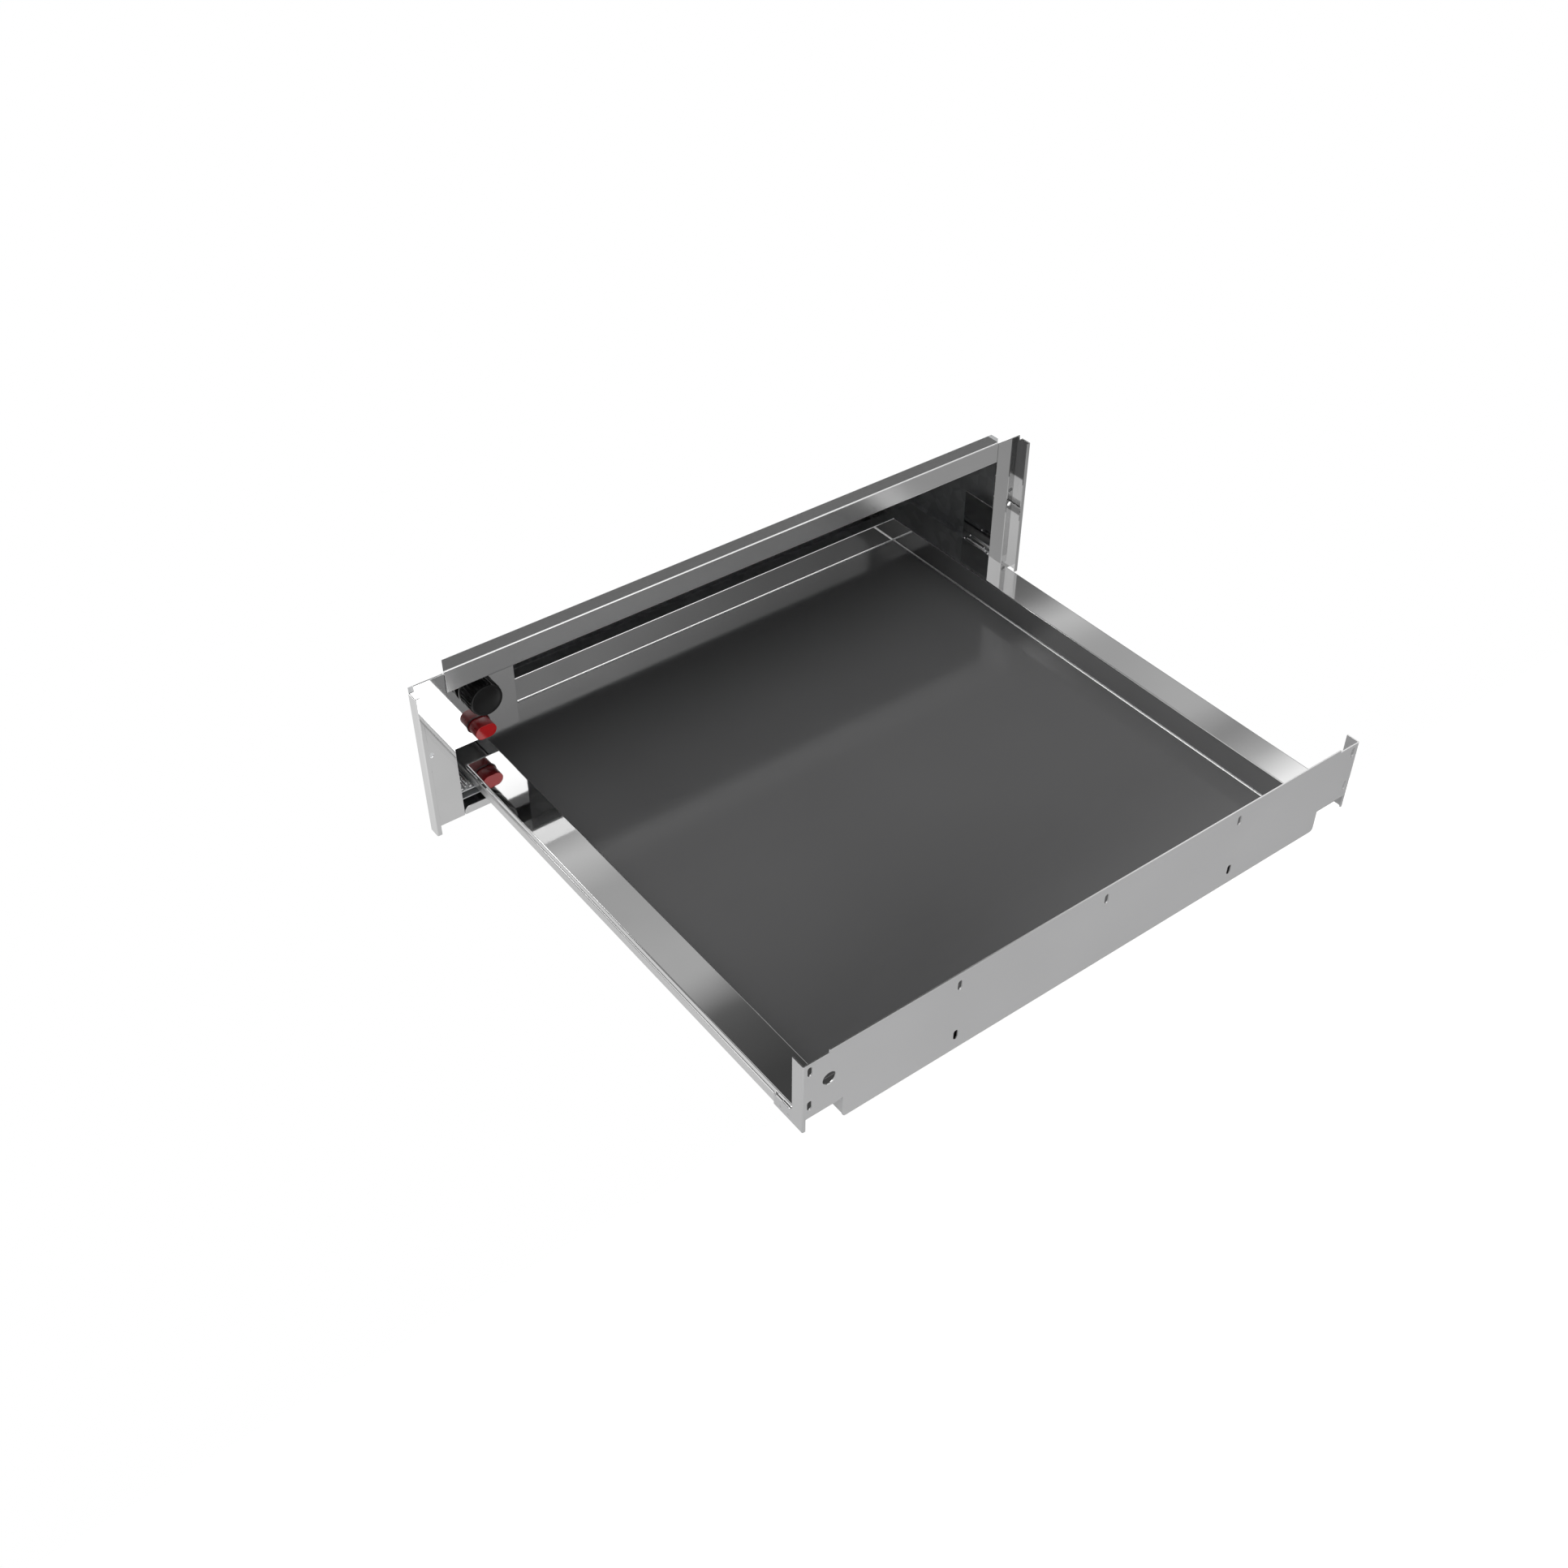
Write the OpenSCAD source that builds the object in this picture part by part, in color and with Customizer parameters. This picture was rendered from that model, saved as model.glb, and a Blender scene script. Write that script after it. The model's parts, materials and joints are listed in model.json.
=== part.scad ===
// Built in warming drawer, drawn out as far as it goes.
// Origin: middle of the frame's seating plane, at the underside. +X right, +Y into the cabinet, +Z up.

/* [Front frame] */
// Width of the frame over its two lips
frame_w = 596; // [580:1:620]
// Height of the frame's side flanges
frame_h = 136.7; // [130:0.1:150]
// Thickness of the frame's sheet
frame_t = 1; // [0.8:0.1:1.4]
// Width of each side flange, from the opening to the lip's outer face
flange_w = 29; // [26:0.5:34]
// How far the lip stands out in front of the flange
lip_d = 9.3; // [6:0.1:12]
// How far the lip's top lies below the flange's top
lip_drop = 4.8; // [3:0.1:8]
// Width of the hem that turns inwards at the lip's front
hem_w = 4.1; // [3:0.1:6]
// Diameter of the fixing hole in each flange
fix_d = 4.5; // [3.5:0.1:5.5]
// Distance of the fixing hole from the lip's outer face
fix_in = 9.4; // [8:0.1:12]
// Height of the fixing hole
fix_z = 69.7; // [50:0.1:90]
// Depth of the jamb behind each flange
jamb_d = 35; // [33:0.5:45]
// Height of the jamb's top
jamb_top = 73; // [60:0.5:90]

/* [Top bar] */
// Height of the bar's front face
bar_h = 19.7; // [17:0.1:24]
// Depth of the bar
bar_d = 13.5; // [10:0.1:18]
// How far the bar stands above the flanges
bar_rise = 1.7; // [0:0.1:4]

/* [Sill] */
// Height of the sill below the drawer
sill_h = 7.2; // [6:0.1:8.5]
// Depth of the sill's foot
sill_foot = 20; // [15:1:40]
// Radius of the sill's upper corners
sill_r = 5; // [3:0.5:6]

/* [Housing] */
// Distance of the housing's walls from the frame's edges
housing_in = 20; // [18:0.5:24]
// Depth of the housing behind the seating plane
housing_d = 538; // [450:1:560]
// Distance of the roof below the bar's top
roof_drop = 4.4; // [3:0.1:6]
// Thickness of the housing's sheet
shell_t = 1; // [0.8:0.1:1.2]
// Depth of the fan space behind the inner rear wall
fan_space = 25; // [22:0.5:32]
// Width of the beads in the base
bead_w = 8; // [6:0.5:12]
// Height of the edges folded up along the base
base_edge = 10; // [6:0.5:11]

/* [Drawer front] */
// How far the closed front stands in front of the seating plane
closed_out = 1.8; // [1.4:0.1:4]
// Gap between the front plate's ends and the opening's edges
front_gap = 11.2; // [10:0.1:13]
// Height of the front plate's lower edge at its ends
front_low = 33.5; // [32.6:0.1:36]
// Height of the front plate's top edge at its ends
front_top = 84.4; // [76:0.1:95]
// Height of the step in the front plate's top edge
front_step = 2.2; // [1:0.1:4]
// Width of each low end of the top edge
step_in = 20.8; // [15:0.1:30]
// Thickness of the front plate
front_t = 1; // [0.8:0.1:1.5]
// Distance of the apron's ends from the plate's ends
apron_in = 32.3; // [31.5:0.1:40]
// Height of the apron's lower edge
apron_low = 13.7; // [9:0.1:18]
// Radius of the apron's lower corners
apron_r = 3; // [1:0.5:6]
// Depth of the flange bent back at each end of the front plate
return_d = 10; // [6:0.5:14]
// Length of the foot that each flange runs back along
foot_l = 29; // [24:0.5:40]

/* [Front fixings] */
// Width of the fixing slots in the front plate
slot_w = 3.8; // [3:0.1:5]
// Height of the fixing slots
slot_h = 8.6; // [7:0.1:11]
// Distance of the outer slots from the plate's ends
slot_in = 5.4; // [5:0.1:10]
// Distance from the outer slots to the inner ones
slot_step = 121.5; // [110:0.5:140]
// Distance of the upper outer slots below the plate's top
outer_drop = 7.5; // [6:0.1:12]
// Distance of the lower outer slots above the plate's lower edge
outer_rise = 11.1; // [8:0.1:16]
// Distance of the upper inner slots below the plate's top at its ends
inner_drop = 9; // [6:0.1:14]
// Distance of the lower inner slots above the apron's lower edge
inner_rise = 14; // [8:0.1:20]
// Diameter of the round window for the power button
window_d = 10.8; // [8:0.1:12]

/* [Tray] */
// Thickness of the tray's sheet
tray_t = 1; // [0.8:0.1:1.2]
// Distance of the ledges' outer edge from the front plate's ends
ledge_in = 1.4; // [1.3:0.1:2]
// Width of the ledges at the sides
ledge_w = 29.2; // [25:0.1:33]
// Height of the fold below the ledges' outer edge
fold_h = 4.2; // [3:0.1:5]
// Clearance of the tray above the sill
tray_lift = 0.9; // [0.7:0.1:2]
// Depth of the ledge behind the front plate
ledge_front = 17; // [16.5:0.5:30]
// Depth of the ledge at the back
ledge_back = 12; // [8:0.5:16]
// Distance from the seating plane to the tray's rear wall, drawer out
tray_back = 83.1; // [60:0.1:110]
// Width of the step in the left ledge
notch_w = 20.4; // [10:0.1:22]
// Where the step starts behind the seating plane, drawer out
notch_y = 12.5; // [5:0.5:30]
// Thickness of the glass floor plate
glass_t = 3; // [2:0.5:4]
// Gap round the glass plate
glass_gap = 1.2; // [1.2:0.1:2]
// Length of the rubber buffers that stop the tray
buffer_l = 4.5; // [3:0.5:10]

/* [Slides] */
// Diameter of the slides' balls
ball_d = 4.8; // [4.4:0.1:5]
// Height of the middle of the slides
slide_z = 16.6; // [15.5:0.1:20]
// Distance of the fixed rails' outer face from the front plate's ends
slide_in = 9.2; // [8:0.1:10]
// Height of the drawer member's running channel
member_h = 8.5; // [8.2:0.1:9]
// Thickness of the rail's web
rail_t = 1.2; // [1:0.1:1.4]
// Clearance between the rail's top and the drawer member's top plate
plate_gap = 2.25; // [1.5:0.05:3]
// Height of the skirt that turns down from the member's top plate
skirt_h = 7.9; // [6:0.1:8.5]
// Distance from the member's top plate up to the ledges' top face
ledge_rise = 6; // [5.6:0.1:8]
// Height of the bracket that carries the fixed rail
bracket_h = 8; // [6:0.1:10]
// Distance between the fixed rail's rear end and the inner rear wall
rail_back = 10; // [9:0.5:20]
// Number of balls along each race
balls = 9; // [4:1:10]
// Distance between neighbouring balls
ball_pitch = 10; // [8:0.5:10.5]

/* [Controls] */
// Depth of the recess in front of the control plate
recess_d = 22; // [20:0.5:26]
// Width of the control plate
plate_w = 66.7; // [60:0.1:80]
// Height of the control plate's lower edge above the ledges
plate_rise = 9.7; // [8:0.1:11]
// Distance of the knob and the button from the opening's edge
control_in = 32; // [28:0.5:36]
// Height of the knob's axis, as a share of the way from the ledge to the bar
knob_share = 0.725; // [0.7:0.005:0.75]
// Diameter of the knob
knob_d = 27.8; // [24:0.1:30]
// Distance of the knob's face behind the seating plane
knob_set = 1; // [0.5:0.5:4]
// Number of ribs round the knob
knob_ribs = 28; // [12:1:36]
// Height of the button's axis, as a share of the way from the ledge to the bar
button_share = 0.297; // [0.27:0.001:0.32]
// Width of the button
button_w = 18; // [15:0.1:20]
// Height of the button
button_h = 12.2; // [10:0.1:14]
// Distance of the button's face behind the seating plane
button_set = 9.6; // [6:0.1:12]
// How far the button's collar stands out all round
collar_out = 1; // [0.5:0.1:1.5]
// Travel of the button
button_press = 3; // [2:0.1:4]

/* [Hot air unit] */
// How far the fan's axis lies above the middle of the housing
fan_rise = 2; // [0:0.1:3]
// Clearance of the heater's ring below the roof and round the impeller
heater_clear = 6.8; // [5:0.1:8]
// Distance from the inner rear wall to the impeller
impeller_gap = 4; // [3:0.1:6]
// Number of the impeller's blades
blades = 24; // [12:1:32]
// Diameter of the heater's tube
heater_tube = 6.4; // [5:0.1:7]
// Diameter of the motor's shaft
shaft_d = 5; // [4:0.1:6]
// Diameter of the motor
motor_d = 60; // [50:1:70]
// Length of the motor behind the back panel
motor_l = 9; // [8:0.5:9]

/* [Hidden] */
$fn = 48;
// Overrun of every cut past the face that it opens
over = 1;
// Clearance between pieces that pass each other
run_gap = 0.4;
// Clearance of a shaft in its bore
shaft_gap = 0.05;
// Clearance of a ball in its race
race_gap = 0.08;
// Blade terminals of the switch, the thermostats and the like
blade_w = 4.8;
blade_t = 0.8;
blade_l = 8;

open_x = frame_w / 2 - flange_w;
bar_top = frame_h + bar_rise;
bar_low = bar_top - bar_h;
bar_x = open_x - run_gap;
lip_y = -frame_t - lip_d;

// Housing
housing_h = bar_top - roof_drop;
wall_x = frame_w / 2 - housing_in;
rear_wall_y = housing_d - fan_space - shell_t;

// Slides: u runs from the rail's outer face towards the tray, v up from the slide's middle
front_x = open_x - front_gap;
rail_x = front_x - slide_in;
rail_y = 2;
rail_l = rear_wall_y - rail_back - rail_y;
ball_r = ball_d / 2;
groove = 0.85;
race_r = ball_r + race_gap;
cage_room = 3.1;
cage_t = 0.7;
rail_lip = 1.1;
lip_v = 1;
ball_u = rail_t + cage_room + ball_r;
ball_v = member_h / 2 + ball_r - groove;
rail_w = ball_u + ball_r + rail_lip;
rail_flange = 2.1;
flange_v = ball_v + ball_r - groove;
rail_half = flange_v + rail_flange;
member_web = 1.2;
member_flange = 1.5;
member_in = rail_w + run_gap + member_web;
member_tip = ball_u - 2 * cage_t - cage_t;
cage_u = rail_t + member_web;
cage_tip = ball_u + 3 * cage_t;
cage_v = ball_v;
cage_l = balls * ball_pitch;
cage_y = rail_y + 2 * run_gap;
skirt_top = slide_z + rail_half + plate_gap + member_web;
skirt_low = skirt_top - skirt_h;
skirt_x = front_x - front_t;

// Tray
ledge_x = front_x - ledge_in;
tray_x = ledge_x - ledge_w;
tray_z = sill_h + tray_lift;
ledge_z = skirt_top + ledge_rise;
tray_end = tray_back + ledge_back;
fold_z = ledge_z - fold_h;
glass_z = tray_z + tray_t;
// Travel of the drawer, from its stop in the slides to the buffers
travel = rear_wall_y - run_gap - buffer_l - tray_end;

// Front plate of the drawer, drawn out
front_y = -closed_out - travel;
front_back = front_y + front_t;
front_w = 2 * front_x;
apron_x = front_x - apron_in;
apron_w = 2 * apron_x;
tray_front = front_back + ledge_front;
foot_low = skirt_low - run_gap / 2;
foot_rise = 2.8;
foot_top = skirt_top + foot_rise;
// How far the drawer members' ends lie inside the front plate and the tray's rear edge
member_set = 16;
member_short = 2;
member_y = front_y + member_set;
member_end = tray_end - member_short;

// Controls
control_x = open_x - control_in;
knob_z = ledge_z + knob_share * (bar_low - ledge_z);
button_z = ledge_z + button_share * (bar_low - ledge_z);
plate_y = recess_d;
plate_t = shell_t;
plate_low = ledge_z + plate_rise;
plate_x = open_x - plate_t / 2;
plate_edge = plate_x - plate_w;
box_d = 46;
box_top = housing_h - shell_t;
knob_back = 2;
knob_y = knob_set;
knob_l = plate_y - knob_back - knob_y;
knob_bore = 6;
stem_l = 10;
switch_base = 11;
switch_d = stem_l + button_press + switch_base;

// Hot air unit
fan_z = housing_h / 2 + fan_rise;
heater_ring = 2 * (housing_h - shell_t - fan_z - heater_clear) - heater_tube;
impeller_d = heater_ring - heater_tube - 2 * heater_clear;
disc_t = 1.2;
bush_l = 3;
impeller_back = 3.6;
vane_w = fan_space - impeller_gap - 2 * disc_t - bush_l - impeller_back;
impeller_y = rear_wall_y + shell_t + impeller_gap;
hub_d = 16;

module block(low, high) {
    translate(low) cube([high[0] - low[0], high[1] - low[1], high[2] - low[2]]);
}

// Outline in X and Z, pushed back along Y from y
module along_y(y, depth) {
    translate([0, y + depth, 0]) rotate([90, 0, 0]) linear_extrude(depth) children();
}

// Outline in Y and Z, pushed along X from x
module along_x(x, width) {
    translate([x, 0, 0]) rotate([90, 0, 90]) linear_extrude(width) children();
}

// Outline in X and Y, pushed up from z
module up_from(z, height) {
    translate([0, 0, z]) linear_extrude(height) children();
}

// Round rod along Y
module rod_y(x, y, z, d, depth) {
    translate([x, y + depth, z]) rotate([90, 0, 0]) cylinder(d = d, h = depth);
}

// Round rod along X
module rod_x(x, y, z, d, width) {
    translate([x, y, z]) rotate([0, 90, 0]) cylinder(d = d, h = width);
}

// Outline with round corners, centred
module soft_rect(w, h, r) {
    square([w - 2 * r, h], center = true);
    square([w, h - 2 * r], center = true);
    for (sx = [-1, 1], sy = [-1, 1])
        translate([sx * (w / 2 - r), sy * (h / 2 - r)]) circle(r = r);
}

// Slot with round ends, centred, longer along Y or along X
module obround(w, h) {
    r = min(w, h) / 2;
    along = h > w;
    square([along ? w : w - 2 * r, along ? h - 2 * r : h], center = true);
    for (s = [-1, 1]) translate([along ? 0 : s * (w / 2 - r), along ? s * (h / 2 - r) : 0]) circle(r = r);
}

// Outline from a to b and from low up to high, its lower corners bent to a radius
module tub_outline(a, b, low, high, r) {
    translate([a, low + r]) square([b - a, high - low - r]);
    translate([a + r, low]) square([b - a - 2 * r, high - low]);
    for (x = [a + r, b - r]) translate([x, low + r]) circle(r = r);
}

// The same with its upper corners bent
module lid_outline(a, b, low, high, r) {
    translate([a, low]) square([b - a, high - low - r]);
    translate([a + r, low]) square([b - a - 2 * r, high - low]);
    for (x = [a + r, b - r]) translate([x, high - r]) circle(r = r);
}

// Opening of a tub: round lower corners, and a mouth that flares over the bend at the top
module mouth_outline(a, b, low, high, r) {
    tub_outline(a, b, low, high + over, r);
    difference() {
        translate([a - r, high - r]) square([b - a + 2 * r, r + over]);
        for (x = [a - r, b + r]) translate([x, high - r]) circle(r = r);
    }
}

// Row of blade terminals behind a body
module blades_at(x, y, z, spread) {
    for (s = [-1, 1]) block([x + s * spread - blade_w / 2, y, z - blade_t / 2],
        [x + s * spread + blade_w / 2, y + blade_l, z + blade_t / 2]);
}

module at_left() {
    mirror([1, 0, 0]) children();
}

// Front frame

// Right-hand flange with its lip, hem and jamb, folded from one sheet
module frame_side() {
    lip_top = frame_h - lip_drop;
    jamb_low = sill_h + run_gap;
    edge_x = frame_w / 2;
    difference() {
        union() {
            along_y(-frame_t, frame_t) difference() {
                translate([open_x, 0]) square([flange_w, frame_h]);
                translate([edge_x - hem_w, lip_top]) square([hem_w + over, lip_drop + over]);
            }
            up_from(0, lip_top) {
                translate([edge_x - frame_t, lip_y + frame_t]) square([frame_t, lip_d - frame_t]);
                translate([edge_x - hem_w, lip_y]) square([hem_w - frame_t, frame_t]);
                intersection() {
                    translate([edge_x - frame_t, lip_y + frame_t]) circle(r = frame_t);
                    translate([edge_x - frame_t, lip_y]) square([frame_t, frame_t]);
                }
            }
            block([open_x, 0, jamb_low], [open_x + frame_t, jamb_d, jamb_top]);
        }
        rod_y(edge_x - fix_in, -frame_t - over, fix_z, fix_d, frame_t + 2 * over);
    }
}

module frame_right() {
    color("silver") frame_side();
}

module frame_left() {
    color("silver") at_left() frame_side();
}

// Channel over the opening, open to the back, its two front edges bent
module top_bar() {
    color("silver") along_x(-bar_x, 2 * bar_x) difference() {
        union() {
            translate([0, bar_low]) square([bar_d - frame_t, bar_h]);
            translate([-frame_t, bar_low + frame_t]) square([frame_t, bar_h - 2 * frame_t]);
            for (z = [bar_low + frame_t, bar_top - frame_t]) translate([0, z]) circle(r = frame_t);
        }
        translate([0, bar_low + frame_t]) square([bar_d, bar_h - 2 * frame_t]);
    }
}

// Low front rail under the drawer, with its foot
module sill() {
    half = open_x - run_gap;
    color("silver") {
        along_y(-frame_t, frame_t) intersection() {
            translate([-half, 0]) square([2 * half, sill_h]);
            lid_outline(-half, half, -sill_r, sill_h, sill_r);
        }
        block([-half, 0, 0], [half, sill_foot, shell_t]);
    }
}

// Housing

// Floor of the housing with two stiffening beads pressed up and edges folded up inside the walls
module base_pan() {
    bead_h = 0.6;
    bead_end = 2 * sill_foot;
    pan_end = housing_d - shell_t;
    color("gainsboro") {
        difference() {
            block([-wall_x, sill_foot, 0], [wall_x, pan_end, shell_t]);
            for (s = [-1, 1]) block([s * wall_x / 2 - bead_w / 2, bead_end, -over],
                [s * wall_x / 2 + bead_w / 2, rear_wall_y - sill_foot, shell_t + over]);
        }
        for (s = [-1, 1]) block([s * wall_x / 2 - bead_w / 2, bead_end, bead_h],
            [s * wall_x / 2 + bead_w / 2, rear_wall_y - sill_foot, bead_h + shell_t]);
        for (s = [0, 1]) mirror([s, 0, 0]) block([wall_x - 2 * shell_t, jamb_d + run_gap, shell_t],
            [wall_x - shell_t, rear_wall_y, base_edge]);
    }
}

// Right-hand wall with its air slots, and a flange that turns in at the front behind the frame
module side_wall() {
    wall_low = shell_t;
    wall_top = housing_h - shell_t;
    vent_w = 3;
    vent_h = 26;
    vent_pitch = 9;
    vent_count = 8;
    vent_start = 3;
    color("gainsboro") {
        difference() {
            block([wall_x - shell_t, 0, wall_low], [wall_x, housing_d - shell_t, wall_top]);
            for (i = [0:vent_count - 1]) along_x(wall_x - shell_t - over, shell_t + 2 * over)
                translate([rear_wall_y - (i + vent_start) * vent_pitch, fan_z + vent_h / 2 + vent_w])
                    obround(vent_w, vent_h);
        }
        block([open_x + frame_t + run_gap, 0, wall_low], [wall_x - shell_t, shell_t, wall_top]);
    }
}

module side_wall_right() {
    side_wall();
}

module side_wall_left() {
    at_left() side_wall();
}

// Roof with edges folded down outside the walls
module roof_panel() {
    edge_h = 9;
    roof_y = shell_t;
    roof_x = wall_x + shell_t;
    color("gainsboro") {
        along_y(roof_y, housing_d - roof_y) difference() {
            lid_outline(-roof_x, roof_x, housing_h - edge_h, housing_h, shell_t);
            translate([-wall_x, housing_h - edge_h - over]) square([2 * wall_x, edge_h + over - shell_t]);
        }
        block([-bar_x, roof_y - shell_t, housing_h - shell_t], [bar_x, roof_y, bar_top - frame_t]);
    }
}

motor_hole = 30;
heater_leg = 14;
leg_over = 0.6;
leg_d = heater_tube + leg_over;
leg_z = fan_z - sqrt(pow(heater_ring / 2, 2) - pow(heater_leg, 2));
inlet_in = 63;
inlet_x = wall_x - inlet_in;
inlet_z = 24;
inlet_d = 16;

// Back panel with rows of slots, the motor's hole and the cable inlet's hole
module back_panel() {
    vent_w = 4;
    vent_h = 40;
    vent_pitch = 11;
    vent_count = 10;
    vent_in = 69;
    last_x = wall_x - vent_in;
    color("gainsboro") difference() {
        block([-wall_x, housing_d - shell_t, 0], [wall_x, housing_d, housing_h - shell_t]);
        rod_y(0, housing_d - shell_t - over, fan_z, motor_hole, shell_t + 2 * over);
        rod_y(-inlet_x, housing_d - shell_t - over, inlet_z, inlet_d, shell_t + 2 * over);
        for (s = [-1, 1]) rod_y(s * heater_leg, housing_d - shell_t - over, leg_z, leg_d + 2 * run_gap,
            shell_t + 2 * over);
        for (i = [0:vent_count - 1], s = [-1, 1]) translate([s * (last_x - i * vent_pitch), 0, fan_z])
            along_y(housing_d - shell_t - over, shell_t + 2 * over) obround(vent_w, vent_h);
    }
}

// Inner rear wall: a ring of intake slots round the fan and two outlet rows at the sides
module inner_rear_wall() {
    intake_w = 4;
    intake_h = 18;
    intake_count = 16;
    outlet_w = 30;
    outlet_h = 4;
    outlet_pitch = 9;
    outlet_count = 6;
    outlet_in = 108;
    color("silver") difference() {
        block([-wall_x + shell_t, rear_wall_y, shell_t],
            [wall_x - shell_t, rear_wall_y + shell_t, housing_h - shell_t]);
        translate([0, 0, fan_z]) along_y(rear_wall_y - over, shell_t + 2 * over)
            for (i = [0:intake_count - 1]) rotate(i * 360 / intake_count)
                translate([0, impeller_d / 2 - intake_h / 2 - intake_w]) obround(intake_w, intake_h);
        for (s = [-1, 1], i = [0:outlet_count - 1])
            translate([s * (wall_x - outlet_in), 0, fan_z + (i - (outlet_count - 1) / 2) * outlet_pitch])
                along_y(rear_wall_y - over, shell_t + 2 * over) obround(outlet_w, outlet_h);
    }
}

// Slides

// Channel on the housing's wall that carries the fixed rail, open to the outside, cut back behind the jamb
module rail_bracket() {
    low = slide_z - bracket_h / 2;
    outer = wall_x - shell_t;
    color("darkgray") difference() {
        block([rail_x, rail_y, low], [outer, rail_y + rail_l, low + bracket_h]);
        block([rail_x + shell_t, rail_y - over, low + shell_t],
            [outer + over, rail_y + rail_l + over, low + bracket_h - shell_t]);
        block([open_x - run_gap, rail_y - over, low - over],
            [outer + over, jamb_d + run_gap, low + bracket_h + over]);
    }
}

module rail_bracket_right() {
    rail_bracket();
}

module rail_bracket_left() {
    at_left() rail_bracket();
}

// Outline of the fixed rail, u to the left, with a round race above and below
module rail_outline() {
    difference() {
        translate([0, -rail_half]) square([rail_w, 2 * rail_half]);
        translate([rail_t, -flange_v]) square([rail_w - rail_t - lip_v, 2 * flange_v]);
        translate([rail_w - lip_v - over, -flange_v + lip_v])
            square([lip_v + 2 * over, 2 * (flange_v - lip_v)]);
        for (s = [-1, 1]) translate([ball_u, s * ball_v]) circle(r = race_r);
    }
}

// Fixed rail, with a small tab at its front end that keeps the ball cage in
module slide_rail() {
    tab_t = run_gap;
    tab_h = member_h / 2;
    color("lightgray") translate([rail_x, 0, slide_z]) mirror([1, 0, 0]) {
        along_y(rail_y, rail_l) rail_outline();
        block([rail_t, rail_y, -tab_h / 2], [cage_u + cage_t, rail_y + tab_t, tab_h / 2]);
    }
}

module slide_rail_right() {
    slide_rail();
}

module slide_rail_left() {
    at_left() slide_rail();
}

// Outline of the drawer member: a running channel with two races, a web that rises to the tray's ledge,
// and a plate that reaches out over the rail and turns down as a skirt
module member_outline() {
    web_u = member_in - member_web;
    skirt_u = rail_x - skirt_x;
    bend_z = skirt_top - member_web - slide_z;
    difference() {
        translate([member_tip, -member_h / 2]) square([member_in - member_tip, member_h]);
        translate([member_tip - over, -member_h / 2 + member_flange])
            square([web_u - member_tip + over, member_h - 2 * member_flange]);
        for (s = [-1, 1]) translate([ball_u, s * ball_v]) circle(r = race_r);
    }
    translate([web_u, 0]) square([member_web, ledge_z - tray_t - slide_z]);
    translate([skirt_u + member_web, bend_z]) square([web_u - skirt_u, member_web]);
    intersection() {
        translate([skirt_u + member_web, bend_z]) circle(r = member_web);
        translate([skirt_u, bend_z]) square([member_web, member_web]);
    }
    translate([skirt_u, skirt_low - slide_z]) square([member_web, bend_z - skirt_low + slide_z]);
}

module slide_member() {
    color("lightgray") translate([rail_x, 0, slide_z]) mirror([1, 0, 0])
        along_y(member_y, member_end - member_y) member_outline();
}

module slide_member_right() {
    slide_member();
}

module slide_member_left() {
    at_left() slide_member();
}

function ball_y(i) = cage_y + cage_l / 2 + (i - (balls - 1) / 2) * ball_pitch;

// Ball cage: a web with two flanges, pierced where the balls sit
module ball_cage() {
    pocket_gap = 0.15;
    pocket = ball_d + 2 * pocket_gap;
    color("goldenrod") difference() {
        translate([rail_x, 0, slide_z]) mirror([1, 0, 0]) along_y(cage_y, cage_l) {
            translate([cage_u, -cage_v - cage_t / 2]) square([cage_t, 2 * cage_v + cage_t]);
            for (s = [-1, 1]) translate([cage_u, s * cage_v - cage_t / 2])
                square([cage_tip - cage_u, cage_t]);
        }
        for (i = [0:balls - 1]) translate([rail_x - ball_u, ball_y(i), slide_z - cage_v - cage_t])
            cylinder(d = pocket, h = 2 * (cage_v + cage_t));
    }
}

module ball_cage_right() {
    ball_cage();
}

module ball_cage_left() {
    at_left() ball_cage();
}

module slide_balls() {
    color("white") for (i = [0:balls - 1], s = [-1, 1])
        translate([rail_x - ball_u, ball_y(i), slide_z + s * ball_v]) sphere(d = ball_d);
}

module slide_balls_right() {
    slide_balls();
}

module slide_balls_left() {
    at_left() slide_balls();
}

// Drawer

// Solid of the tray's tub, with bent lower edges
module tub_body() {
    bend = 2 * tray_t;
    wall_a = tray_front - tray_t;
    wall_b = tray_back + tray_t;
    half = tray_x + tray_t;
    intersection() {
        along_y(wall_a, wall_b - wall_a) tub_outline(-half, half, tray_z, ledge_z, bend);
        along_x(-half, 2 * half) tub_outline(wall_a, wall_b, tray_z, ledge_z, bend);
    }
}

// What the tub holds, with the bend at its mouth
module tub_inside() {
    intersection() {
        along_y(tray_front - over - tray_t, tray_back - tray_front + 2 * (over + tray_t))
            mouth_outline(-tray_x, tray_x, glass_z, ledge_z, tray_t);
        along_x(-tray_x - over - tray_t, 2 * (tray_x + over + tray_t))
            mouth_outline(tray_front, tray_back, glass_z, ledge_z, tray_t);
    }
}

// Ledges all round with the fold under their outer edge
module ledge_body() {
    difference() {
        intersection() {
            along_y(front_back, tray_end - front_back)
                lid_outline(-ledge_x, ledge_x, fold_z, ledge_z, tray_t);
            along_x(-ledge_x, 2 * ledge_x) lid_outline(front_back, tray_end, fold_z, ledge_z, tray_t);
        }
        block([-ledge_x + tray_t, front_back + tray_t, fold_z - over],
            [ledge_x - tray_t, tray_end - tray_t, ledge_z - tray_t]);
    }
}

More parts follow.
